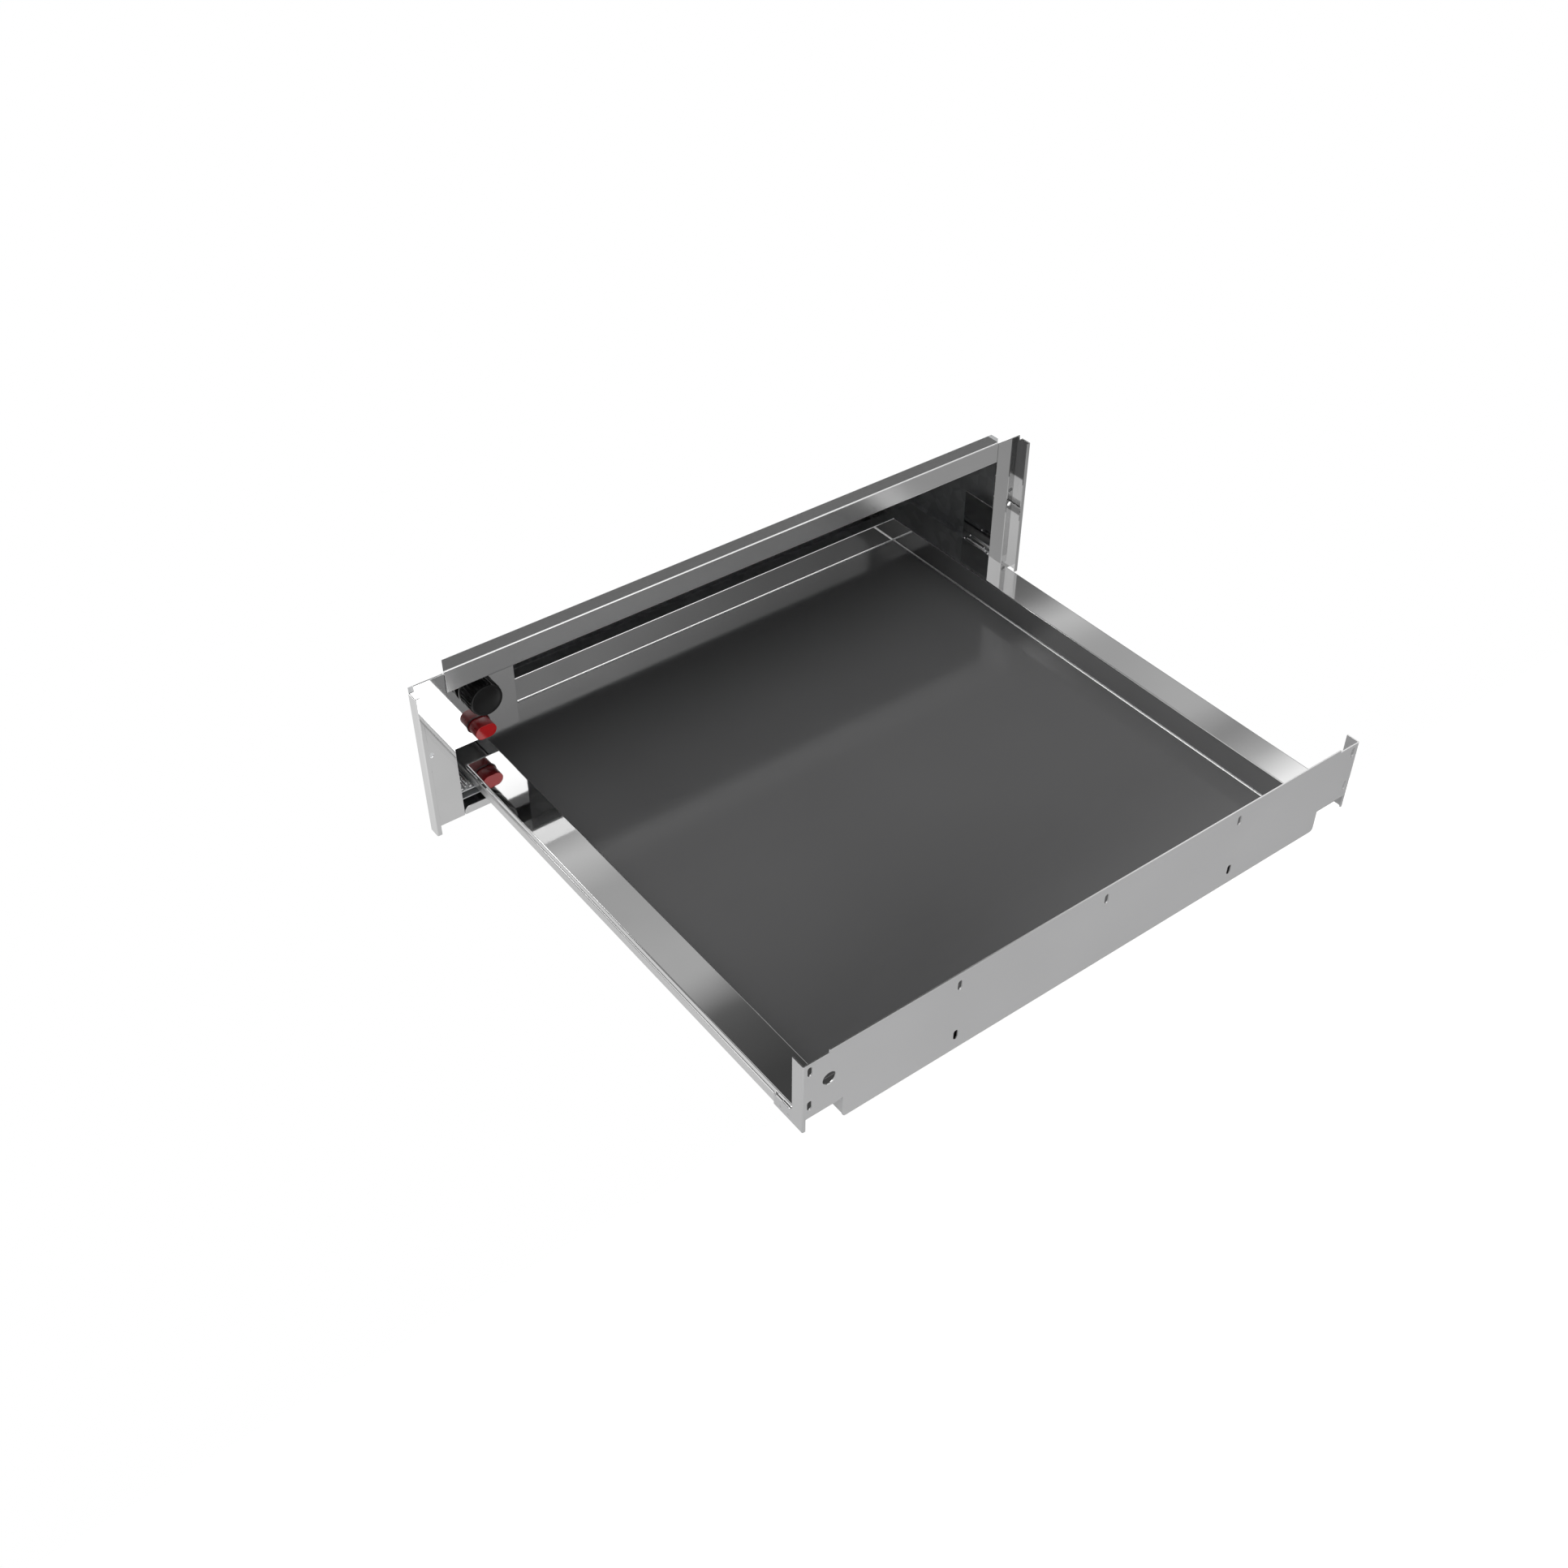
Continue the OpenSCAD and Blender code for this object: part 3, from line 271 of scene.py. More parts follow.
def coated_sheet(name, colour):
    """Satin coating of the front plate, with a faint orange peel and bare cut edges on top."""
    material, tree, shader = new_material(name)
    shader.inputs["Metallic"].default_value = 0.25
    cloud = noise(tree, scale=6.0, detail=2.0)
    coat(tree, shader, two_tones(tree, cloud, shade(colour, 0.966), shade(colour, 1.034)),
         spread(tree, cloud, 0.4, 0.5))
    bump(tree, shader, noise(tree, scale=700.0, detail=2.0), strength=0.06, distance=0.0002)
    bare = add_node(tree, "ShaderNodeBsdfPrincipled", Base_Color=(0.82, 0.82, 0.82, 1), Metallic=1.0, Roughness=0.12)
    coordinates = add_node(tree, "ShaderNodeTexCoord")
    normal = add_node(tree, "ShaderNodeSeparateXYZ")
    tree.links.new(coordinates.outputs["Normal"], normal.inputs["Vector"])
    looks_up = spread(tree, normal.outputs["Z"], 0.0, 1.0, start=0.75, end=0.95)
    mix_shaders(tree, looks_up, shader, bare, "Material Output")
    return material


def dark_glass(name, colour):
    """Dark glass of the tray's floor: polished, with faint wipe marks."""
    material, tree, shader = new_material(name)
    shader.inputs["IOR"].default_value = 1.58
    cloud = noise(tree, scale=5.0, detail=2.0)
    wipe = noise(tree, scale=40.0, detail=4.0, stretch=(1, 6, 1))
    coat(tree, shader, two_tones(tree, cloud, shade(colour, 0.955), shade(colour, 1.045)),
         spread(tree, wipe, 0.13, 0.17))
    return material


def moulded_plastic(name, colour, roughness):
    """Moulded plastic with a fine spark eroded texture."""
    material, tree, shader = new_material(name)
    cloud = noise(tree, scale=60.0, detail=2.0)
    coat(tree, shader, two_tones(tree, cloud, shade(colour, 0.85), shade(colour, 1.15)),
         spread(tree, cloud, roughness * 0.9, roughness * 1.15))
    bump(tree, shader, noise(tree, scale=2500.0, detail=2.0), strength=0.05, distance=0.0002)
    return material


def red_lens(name, colour, roughness=0.1):
    """Red plastic of the button: polished, with a slight cloud in its depth."""
    material, tree, shader = new_material(name)
    shader.inputs["IOR"].default_value = 1.49
    cloud = noise(tree, scale=120.0, detail=2.0)
    coat(tree, shader, two_tones(tree, cloud, shade(colour, 0.85), shade(colour, 1.15)),
         spread(tree, cloud, roughness * 0.8, roughness * 1.4))
    return material


def heater_sheath(name):
    """Steel tube of the heater, tinted by heat."""
    material, tree, shader = new_material(name)
    shader.inputs["Metallic"].default_value = 1.0
    tint = noise(tree, scale=30.0, detail=3.0)
    coat(tree, shader, two_tones(tree, tint, (0.25, 0.19, 0.14), (0.33, 0.31, 0.30)),
         spread(tree, tint, 0.35, 0.55))
    return material


def make_finishes(settings):
    """Finish of each of the record's slots, and of each node that differs from its slot."""
    steel = tuple(settings.steel_colour)
    return {
        "bright_steel": sheet_steel("bright_annealed_steel", steel, roughness=0.04, waviness=0.012),
        "tray_pan": sheet_steel("polished_tray_steel", steel, roughness=0.045, grain=(24, 1, 1), waviness=0.012),
        "top_bar": sheet_steel("brushed_bar_steel", steel, roughness=0.2, grain=(1, 24, 24)),
        "ball_steel": sheet_steel("polished_ball_steel", steel, roughness=0.05),
        "slide_steel": sheet_steel("zinc_plated_slide_steel", (0.70, 0.70, 0.70), roughness=0.32, grain=(1, 30, 30)),
        "aluminium": sheet_steel("pressed_aluminium", (0.72, 0.72, 0.74), roughness=0.3),
        "zinc_steel": galvanised_steel("galvanised_steel", metallic=0.85),
        "roof_panel": galvanised_steel("galvanised_roof_steel", metallic=0.2, gain=0.85),
        "grey_paint": coated_sheet("satin_grey_coating", tuple(settings.coating_colour)),
        "dark_glass": dark_glass("dark_floor_glass", tuple(settings.glass_colour)),
        "black_plastic": moulded_plastic("black_moulded_plastic", (0.012, 0.012, 0.012), roughness=0.35),
        "light_plastic": moulded_plastic("ivory_moulded_plastic", (0.72, 0.69, 0.60), roughness=0.45),
        "rubber": moulded_plastic("black_rubber", (0.02, 0.02, 0.02), roughness=0.7),
        "red_plastic": red_lens("red_lens", (0.2, 0.01, 0.01)),
        "heater_ring": heater_sheath("heated_sheath"),
    }


# Finishes made so far, by slot or node
FINISHES = {}


def finish(*keys):
    """The finish of the first of these nodes or slots that has one."""
    if not FINISHES:
        FINISHES.update(make_finishes(bpy.context.scene.drawer_settings))
    for key in keys:
        if key in FINISHES:
            return FINISHES[key]
    raise KeyError(f"no finish for {keys[0]}")


# Tone of the sky at each angle in degrees: 0 is straight behind the drawer, 90 overhead, 180 straight in
# front and -90 underneath
SKY_LOW = ((-180, 0.5), (-178, 0.5), (-2, 0.3), (0, 0.10), (41, 0.12), (44.5, 0.12), (45.1, 0.16), (45.4, 0.84),
           (46.5, 0.60), (47.2, 0.41), (48.2, 0.39), (50, 0.43), (51, 0.47), (52.1, 0.46))
SKY_LEFT = ((52.4, 0.12), (54, 0.09), (56.2, 0.055), (64, 0.10), (68, 1.0))
SKY_RIGHT = ((52.4, 0.28), (54.75, 0.25), (55.1, 1.0), (56.2, 1.1), (68, 1.1))
SKY_FRONT_LEFT = ((80, 1.2), (116, 1.3), (122, 0.25), (134.6, 0.25), (135.6, 1.15), (137.6, 1.2), (139, 2.0),
                  (141, 2.2), (160, 1.8), (168, 0.9), (180, 0.8))
SKY_FRONT_RIGHT = ((80, 1.2), (112, 1.2), (120, 0.27), (160, 0.27), (168, 0.8), (180, 0.8))

# Share of the right hand sky at each angle in degrees: 0 is straight behind the drawer, 90 to its right,
# 180 straight in front and -90 to its left
SKY_TURN = ((-180, 0), (-168, 0), (-155, 1), (-30, 1), (-10, 0), (44, 0), (54, 1), (141, 1), (144, 0.85), (147, 0.5),
            (149.5, 0.15), (151, 0.0))


def sky_angle(tree, rise, run):
    """Angle of a direction from two of its components, as a share of the full turn."""
    angle = add_node(tree, "ShaderNodeMath", operation="ARCTAN2")
    tree.links.new(rise, angle.inputs[0])
    tree.links.new(run, angle.inputs[1])
    share = add_node(tree, "ShaderNodeMath", operation="MULTIPLY_ADD")
    share.inputs[1].default_value = 1 / math.tau
    share.inputs[2].default_value = 0.5
    tree.links.new(angle.outputs["Value"], share.inputs[0])
    return share.outputs["Value"]


def sky_band(tree, share, stops):
    """Grey tone of the sky at each angle."""
    ramp = add_node(tree, "ShaderNodeValToRGB")
    points = ramp.color_ramp.elements
    for index, (angle, tone) in enumerate(stops):
        position = angle / 360 + 0.5
        point = points[index] if index < len(points) else points.new(position)
        point.position = position
        point.color = (tone, tone, tone, 1)
    tree.links.new(share, ramp.inputs["Fac"])
    return ramp.outputs["Color"]


# Modelling

AXIS_TURNS = {"Y": (math.pi / 2, 0, 0), "Z": (0, 0, 0)}

# Share of an axis in a face's normal: more than the first and the face looks along the axis, less than the
# second and it runs beside the axis
LOOKS_ALONG = 0.9
RUNS_BESIDE = 0.1


def take(piece):
    """Makes a piece the only selected and the active one."""
    bpy.ops.object.select_all(action="DESELECT")
    piece.select_set(True)
    bpy.context.view_layer.objects.active = piece
    return piece


def settle(name):
    """Names the new primitive and moves its place, turn and scale into its mesh."""
    bpy.ops.object.transform_apply(location=True, rotation=True, scale=True)
    piece = take(bpy.context.object)
    piece.name = piece.data.name = name
    return piece


def add_block(name, low, high):
    """A block between two corners."""
    bpy.ops.object.select_all(action="DESELECT")
    size = [b - a for a, b in zip(low, high)]
    middle = [(a + b) / 2 for a, b in zip(low, high)]
    bpy.ops.mesh.primitive_cube_add(size=1, location=middle, scale=size)
    return settle(name)


def add_rod(name, middle, radius, length, sides, axis="Y"):
    """A round rod along an axis."""
    bpy.ops.object.select_all(action="DESELECT")
    bpy.ops.mesh.primitive_cylinder_add(vertices=sides, radius=radius, depth=length, location=middle,
                                        rotation=AXIS_TURNS[axis])
    return settle(name)


def add_round_ended(name, place, half_width, half_height, length):
    """A rod along Y whose section is a rectangle with round ends."""
    rod = add_rod(name, place, half_height, length, sides=62)
    off_middle = 0.0001
    edit()
    for side in (-1, 1):
        pick_points(rod, lambda point: (point.x - place[0]) * side > off_middle)
        bpy.ops.transform.translate(value=(side * (half_width - half_height), 0, 0))
    leave_edit()
    return rod


def edit():
    """Enters edit mode with no face selected."""
    bpy.ops.object.mode_set(mode="EDIT")
    bpy.ops.mesh.select_mode(type="FACE")
    bpy.ops.mesh.select_all(action="DESELECT")


def leave_edit():
    """Goes back to object mode."""
    bpy.ops.object.mode_set(mode="OBJECT")


def pick_faces(piece, test):
    """Selects the faces whose middle and normal pass a test."""
    bpy.ops.mesh.select_mode(type="FACE")
    bpy.ops.mesh.select_all(action="DESELECT")
    mesh = bmesh.from_edit_mesh(piece.data)
    picked = [face for face in mesh.faces if test(face.calc_center_median(), face.normal)]
    if not picked:
        raise RuntimeError(f"no face of {piece.name} was found to work on")
    for face in picked:
        face.select_set(True)
    bmesh.update_edit_mesh(piece.data)


def pick_points(piece, test):
    """Selects the points that pass a test."""
    bpy.ops.mesh.select_mode(type="VERT")
    bpy.ops.mesh.select_all(action="DESELECT")
    mesh = bmesh.from_edit_mesh(piece.data)
    picked = [point for point in mesh.verts if test(point.co)]
    if not picked:
        raise RuntimeError(f"no point of {piece.name} was found to move")
    for point in picked:
        point.select_set(True)
    mesh.select_flush(True)
    bmesh.update_edit_mesh(piece.data)


def push(offset):
    """Extrudes the selected faces by an offset."""
    bpy.ops.mesh.extrude_region_move(TRANSFORM_OT_translate={"value": offset})


def swell(height):
    """Extrudes the selected faces together along their normals."""
    bpy.ops.mesh.extrude_region_shrink_fatten(TRANSFORM_OT_shrink_fatten={"value": height})


def cut_across(place, axis="Y"):
    """Cuts the whole piece by a plane across an axis."""
    direction = Vector([float(axis == name) for name in "XYZ"])
    bpy.ops.mesh.select_all(action="SELECT")
    bpy.ops.mesh.bisect(plane_co=direction * place, plane_no=direction)


def clean_mesh():
    """Merges the doubles of the piece in edit mode and points its faces outwards."""
    bpy.ops.mesh.select_mode(type="FACE")
    bpy.ops.mesh.select_all(action="SELECT")
    bpy.ops.mesh.remove_doubles(threshold=WELD)
    bpy.ops.mesh.normals_make_consistent(inside=False)


def smooth(piece, angle=40):
    """Smooths what bends by less than an angle."""
    take(piece)
    bpy.ops.object.shade_smooth_by_angle(angle=math.radians(angle))


def round_edges(piece, radius, segments, angle=35):
    """Rounds the sharp edges with an applied bevel and smooths what is round."""
    take(piece)
    bevel = piece.modifiers.new("edge", "BEVEL")
    bevel.width = radius
    bevel.segments = segments
    bevel.limit_method = "ANGLE"
    bevel.angle_limit = math.radians(angle)
    bevel.use_clamp_overlap = True
    bpy.ops.object.modifier_apply(modifier=bevel.name)
    smooth(piece, angle)
    return piece


def join(name, pieces):
    """Makes several pieces one."""
    take(pieces[0])
    for piece in pieces:
        piece.select_set(True)
    bpy.ops.object.join()
    whole = take(bpy.context.object)
    whole.name = whole.data.name = name
    return whole


def copy_piece(piece, move):
    """A copy with its own mesh, moved by a matrix."""
    copy = piece.copy()
    copy.data = piece.data.copy()
    bpy.context.scene.collection.objects.link(copy)
    copy.data.transform(move)
    return copy


def hand_over(piece, materials, body, slot, *nodes):
    """Finishes a piece: clean mesh, materials, the body that it rides on and the nodes that it stands for."""
    take(piece)
    edit()
    clean_mesh()
    leave_edit()
    piece.data.materials.clear()
    for material in materials:
        piece.data.materials.append(material)
    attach(piece, body)
    if nodes:
        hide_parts(*nodes)


def soften(target, width):
    """Rounds the edges of a CAD node with modifiers: weld, flatten the triangles, bevel."""
    weld = target.modifiers.new("weld", "WELD")
    weld.merge_threshold = CAD_WELD
    flat = target.modifiers.new("flatten", "DECIMATE")
    flat.decimate_type = "DISSOLVE"
    flat.angle_limit = math.radians(1)
    bevel = target.modifiers.new("edge_radius", "BEVEL")
    bevel.width = width
    bevel.segments = 2
    bevel.limit_method = "ANGLE"
    bevel.angle_limit = math.radians(40)
    bevel.use_clamp_overlap = True
    bevel.harden_normals = True


def solids_of(node):
    """Lowest and highest corner of each separate solid of a CAD node."""
    mesh = bmesh.new()
    mesh.from_mesh(frame["nodes"][node].data)
    bmesh.ops.remove_doubles(mesh, verts=mesh.verts, dist=CAD_WELD)
    left, solids = set(mesh.verts), []
    while left:
        queue, island = [left.pop()], []
        while queue:
            point = queue.pop()
            island.append(point.co.copy())
            for edge in point.link_edges:
                other = edge.other_vert(point)
                if other in left:
                    left.remove(other)
                    queue.append(other)
        low, high = (Vector([end(point[i] for point in island) for i in range(3)]) for end in (min, max))
        solids.append((low, high))
    mesh.free()
    return sorted(solids, key=lambda pair: tuple(pair[0]))


# Operators

class DRAWER_OT_finish_nodes(bpy.types.Operator):
    """Gives every CAD piece its finish and rounds the edges of all but those kept sharp"""
    bl_idname = "drawer.finish_nodes"
    bl_label = "Finish the pieces"

    def execute(self, context):
        width = context.scene.drawer_settings.edge_radius
        for node, target in frame["nodes"].items():
            target.data.materials.clear()
            target.data.materials.append(finish(node, SLOTS[node]))
            if node not in KEPT_SHARP:
                soften(target, width)
        return {"FINISHED"}


class DRAWER_OT_floor_bead(bpy.types.Operator):
    """Lays the steel bead that holds the glass floor plate against the tray's walls"""
    bl_idname = "drawer.floor_bead"
    bl_label = "Floor bead"

    def execute(self, context):
        settings = context.scene.drawer_settings
        width, rise = settings.bead_width, settings.bead_rise
        steps, depth = 4, 0.002
        glass_low, glass_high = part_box("floor_glass")
        margin = Vector((width, width, 0))
        low, high = glass_low - margin, glass_high + margin
        bpy.ops.object.select_all(action="DESELECT")
        bpy.ops.mesh.primitive_plane_add(size=1, location=((low.x + high.x) / 2, (low.y + high.y) / 2, high.z))
        context.object.scale = (high.x - low.x, high.y - low.y, 1)
        bead = settle("floor_bead")
        edit()
        bpy.ops.mesh.select_all(action="SELECT")
        for _ in range(steps):
            bpy.ops.mesh.inset(thickness=width / steps)
        bpy.ops.mesh.delete(type="FACE")
        for step in range(steps):
            inside = width * step / steps
            share = 1 - step / steps
            pick_points(bead, lambda point: abs(self.reach(point, low, high) - inside) < width / steps / 4)
            bpy.ops.transform.translate(value=(0, 0, rise * (1 - math.sqrt(1 - share * share))))
        bpy.ops.mesh.select_mode(type="FACE")
        bpy.ops.mesh.select_all(action="SELECT")
        push((0, 0, -depth))
        leave_edit()
        smooth(bead)
        steel = sheet_steel("satin_bead_steel", tuple(settings.bead_colour), roughness=0.3)
        hand_over(bead, [steel], BODIES["floor_glass"], SLOTS["tray_pan"])
        return {"FINISHED"}

    @staticmethod
    def reach(point, low, high):
        """How far a point lies inside the bead's outer edge."""
        return min(point.x - low.x, high.x - point.x, point.y - low.y, high.y - point.y)


class DRAWER_OT_temperature_knob(bpy.types.Operator):
    """Models the temperature knob: a ribbed grip with a dished face, a skirt and a bore for the shaft"""
    bl_idname = "drawer.temperature_knob"
    bl_label = "Temperature knob"

    def execute(self, context):
        settings = context.scene.drawer_settings
        rib, rim, skirt = settings.knob_rib_height, settings.knob_rim, settings.knob_skirt
        low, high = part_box("thermostat_knob")
        shaft_low, shaft_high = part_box("thermostat_shaft")
        middle = (low + high) / 2
        radius, length = (high.x - low.x) / 2, high.y - low.y
        faces_a_rib = 4
        sides = settings.knob_ribs * faces_a_rib
        knob = add_rod("temperature_knob", middle, radius - rib, length, sides)

        def is_rib(centre, normal):
            """One face in four along the grip."""
            angle = math.atan2(centre.z - middle.z, centre.x - middle.x) + math.pi
            number = math.floor(angle / math.tau * sides)
            on_grip = low.y + rim < centre.y < high.y - skirt and abs(normal.y) < RUNS_BESIDE
            return on_grip and number % faces_a_rib == 0

        edit()
        cut_across(low.y + rim)
        cut_across(high.y - skirt)
        pick_faces(knob, is_rib)
        bpy.ops.mesh.extrude_faces_move(TRANSFORM_OT_shrink_fatten={"value": rib * 0.8})
        pick_faces(knob, lambda centre, normal: centre.y > high.y - skirt and abs(normal.y) < RUNS_BESIDE)
        swell(rib)
        pick_faces(knob, lambda centre, normal: normal.y < -LOOKS_ALONG and centre.y < low.y + rim / 2)
        bpy.ops.mesh.inset(thickness=rim)
        push((0, rib / 2, 0))
        bpy.ops.mesh.inset(thickness=rib)
        push((0, rib / 4, 0))
        pick_faces(knob, lambda centre, normal: normal.y > LOOKS_ALONG and centre.y > high.y - skirt / 4
                   and (centre - middle).xz.length < rib)
        clearance = 0.0001
        bore = (shaft_high.x - shaft_low.x) / 2 + clearance
        bpy.ops.mesh.inset(thickness=radius - rib - bore)
        push((0, -length / 2, 0))
        leave_edit()
        round_edges(knob, radius=0.00025, segments=2)
        plastic = moulded_plastic("black_knob_plastic", tuple(settings.knob_colour), roughness=0.3)
        hand_over(knob, [plastic], BODIES["thermostat_knob"], SLOTS["thermostat_knob"], "thermostat_knob")
        return {"FINISHED"}


class DRAWER_OT_power_button(bpy.types.Operator):
    """Models the power button: a red lens, the stem behind it and the bezel on the plate"""
    bl_idname = "drawer.power_button"
    bl_label = "Power button"

    def execute(self, context):
        settings = context.scene.drawer_settings
        low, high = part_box("power_button")
        plate_low, plate_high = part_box("control_plate")
        middle = (low + high) / 2
        border = 0.001
        half_width, half_height = (high.x - low.x) / 2 - border, (high.z - low.z) / 2 - border
        self.model_lens(middle, half_width, half_height, low.y, plate_high.y, high.y, settings)
        self.model_bezel(middle, half_width, half_height, plate_low.y, border, settings)
        return {"FINISHED"}

    def model_lens(self, middle, half_width, half_height, front, back, stem_end, settings):
        """The lens from its front to the plate's back, and a thinner stem behind it."""
        rim, near = 0.0007, 0.00025
        place = (middle.x, (front + back) / 2, middle.z)
        lens = add_round_ended("power_button_lens", place, half_width, half_height, back - front)
        edit()
        pick_faces(lens, lambda centre, normal: normal.y > LOOKS_ALONG and centre.y > back - near)
        bpy.ops.mesh.inset(thickness=half_height / 3)
        push((0, stem_end - back, 0))
        pick_faces(lens, lambda centre, normal: normal.y < -LOOKS_ALONG and centre.y < front + near)
        bpy.ops.mesh.inset(thickness=rim)
        leave_edit()
        round_edges(lens, radius=0.0003, segments=3)
        # The side material is the face's red at about half the brightness and rougher: a painted shade on the sides
        # and stem
        side = red_lens("red_lens_shaded_side", tuple(settings.lens_shaded_side), roughness=0.3)
        face = red_lens("red_lens_face", tuple(settings.lens_face))
        hand_over(lens, [side, face], BODIES["power_button"], SLOTS["power_button"], "power_button")
        # Faces at the front take the face red, every other face the painted shade
        for polygon in lens.data.polygons:
            polygon.material_index = int(polygon.center.y < front + near)

    def model_bezel(self, middle, half_width, half_height, plate_front, border, settings):
        """A thin ring on the plate, with a little room round the lens."""
        height, ring, clearance = settings.bezel_height, border * 0.8, 0.00015
        place = (middle.x, plate_front - height / 2, middle.z)
        bezel = add_round_ended("button_bezel", place, half_width + ring, half_height + ring, height)
        edit()
        pick_faces(bezel, lambda centre, normal: abs(normal.y) > LOOKS_ALONG)
        bpy.ops.mesh.inset(thickness=ring - clearance)
        bpy.ops.mesh.bridge_edge_loops()
        leave_edit()
        round_edges(bezel, radius=0.0001, segments=2)
        plastic = moulded_plastic("dark_red_bezel", tuple(settings.bezel_colour), roughness=0.3)
        hand_over(bezel, [plastic], BODIES["control_plate"], SLOTS["power_button"])


class DRAWER_OT_apron_channel(bpy.types.Operator):
    """Folds the channel that stiffens the front plate's apron against the tray's front wall"""
    bl_idname = "drawer.apron_channel"
    bl_label = "Apron channel"

    def execute(self, context):
        edge = context.scene.drawer_settings.channel_edge
        plate_low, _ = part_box("front_carrier")
        glass_low, glass_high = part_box("floor_glass")
        sheet, wall_gap, end_gap = 0.001, 0.0022, 0.004
        start, end = plate_low.y + sheet, glass_low.y - wall_gap
        half = glass_high.x - end_gap
        level = plate_low.z + sheet / 4
        channel = add_block("apron_channel", (-half, start, level), (half, end, level + sheet))
        edit()
        cut_across(start + sheet)
        cut_across(end - sheet)
        pick_faces(channel, lambda centre, normal: normal.z > LOOKS_ALONG
                   and (centre.y < start + sheet or centre.y > end - sheet))
        push((0, 0, edge))
        leave_edit()
        round_edges(channel, radius=sheet / 4, segments=2)
        hand_over(channel, [finish("zinc_steel")], BODIES["front_carrier"], SLOTS["front_carrier"])
        return {"FINISHED"}


class DRAWER_OT_closing_springs(bpy.types.Operator):
    """Models the closing unit on each rail bracket: a damper between two coil springs"""
    bl_idname = "drawer.closing_springs"
    bl_label = "Closing springs"

    def execute(self, context):
        settings = context.scene.drawer_settings
        bracket_low, bracket_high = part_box("rail_bracket_right")
        _, plate_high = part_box("front_carrier")
        frame_low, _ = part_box("frame_right")
        radius = settings.spring_radius
        step = radius * 2.1
        inset = 0.0015
        away = (plate_high.x + frame_low.x) / 2
        start, level = bracket_low.y + inset, bracket_high.z + radius
        for side, name in ((-1, "left"), (1, "right")):
            middle = side * away
            parts = []
            for x in (middle - step, middle + step):
                parts += self.spring((x, start, level), settings)
            parts.append(self.damper((middle, start, level), settings))
            unit = join(f"closing_springs_{name}", parts)
            smooth(unit)
            body, slot = BODIES[f"slide_rail_{name}"], SLOTS[f"slide_rail_{name}"]
            hand_over(unit, [finish("ball_steel")], body, slot)
        return {"FINISHED"}

    def spring(self, place, settings):
        """One wire wound along Y, over a guide wire whose ends carry round eyes."""
        wire, length, coils = settings.spring_wire, settings.spring_length, settings.spring_coils
        hook, eye = 0.002, 2.2
        x, y, z = place
        guide = add_rod("guide_wire", (x, y + length / 2, z), wire, length, sides=12)
        edit()
        for end, facing in ((y, -1), (y + length, 1)):
            pick_faces(guide, lambda centre, normal: normal.y * facing > LOOKS_ALONG)
            swell(wire)
            bpy.ops.transform.resize(value=(eye, 1, eye), center_override=(x, end, z))
            swell(wire)
        leave_edit()
        bpy.ops.object.select_all(action="DESELECT")
        top = z + settings.spring_radius - wire
        bpy.ops.mesh.primitive_circle_add(vertices=8, radius=wire, location=(x, y + hook, top),
                                          rotation=(0, math.pi / 2, 0))
        coil = settle("spring_coil")
        # The Screw modifier winds round the origin, so the wire's section is taken there and back
        to_axis = Matrix.Translation((-x, -y, -z))
        coil.data.transform(to_axis)
        winding = coil.modifiers.new("winding", "SCREW")
        winding.axis = "Y"
        winding.steps = winding.render_steps = 20
        winding.iterations = coils
        winding.screw_offset = (length - 2 * hook) / coils
        bpy.ops.object.modifier_apply(modifier=winding.name)
        coil.data.transform(to_axis.inverted())
        edit()
        bpy.ops.mesh.select_mode(type="EDGE")
        bpy.ops.mesh.select_non_manifold(extend=False)
        bpy.ops.mesh.edge_face_add()
        clean_mesh()
        leave_edit()
        return [guide, coil]

    def damper(self, place, settings):
        """A barrel with a rolled neck, and the piston's rod in front of it."""
        radius, length = settings.spring_radius, settings.spring_length
        x, y, z = place
        barrel_radius, barrel_length = radius * 0.95, length * 0.76
        neck_depth, shoulder, rod_length = radius * 0.2, radius * 0.55, length * 0.22
        barrel_start = y + length - barrel_length
        neck_start, neck_end = y + length * 0.3, y + length * 0.34
        middle = (x, barrel_start + barrel_length / 2, z)
        barrel = add_rod("damper", middle, barrel_radius, barrel_length, sides=32)
        edit()
        cut_across(neck_start)
        cut_across(neck_end)
        pick_faces(barrel, lambda centre, normal: neck_start < centre.y < neck_end and abs(normal.y) < RUNS_BESIDE)
        swell(-neck_depth)
        pick_faces(barrel, lambda centre, normal: normal.y < -LOOKS_ALONG
                   and centre.y < (barrel_start + neck_start) / 2)
        bpy.ops.mesh.inset(thickness=shoulder)
        push((0, -rod_length, 0))
        leave_edit()
        return round_edges(barrel, radius=0.0001, segments=2)


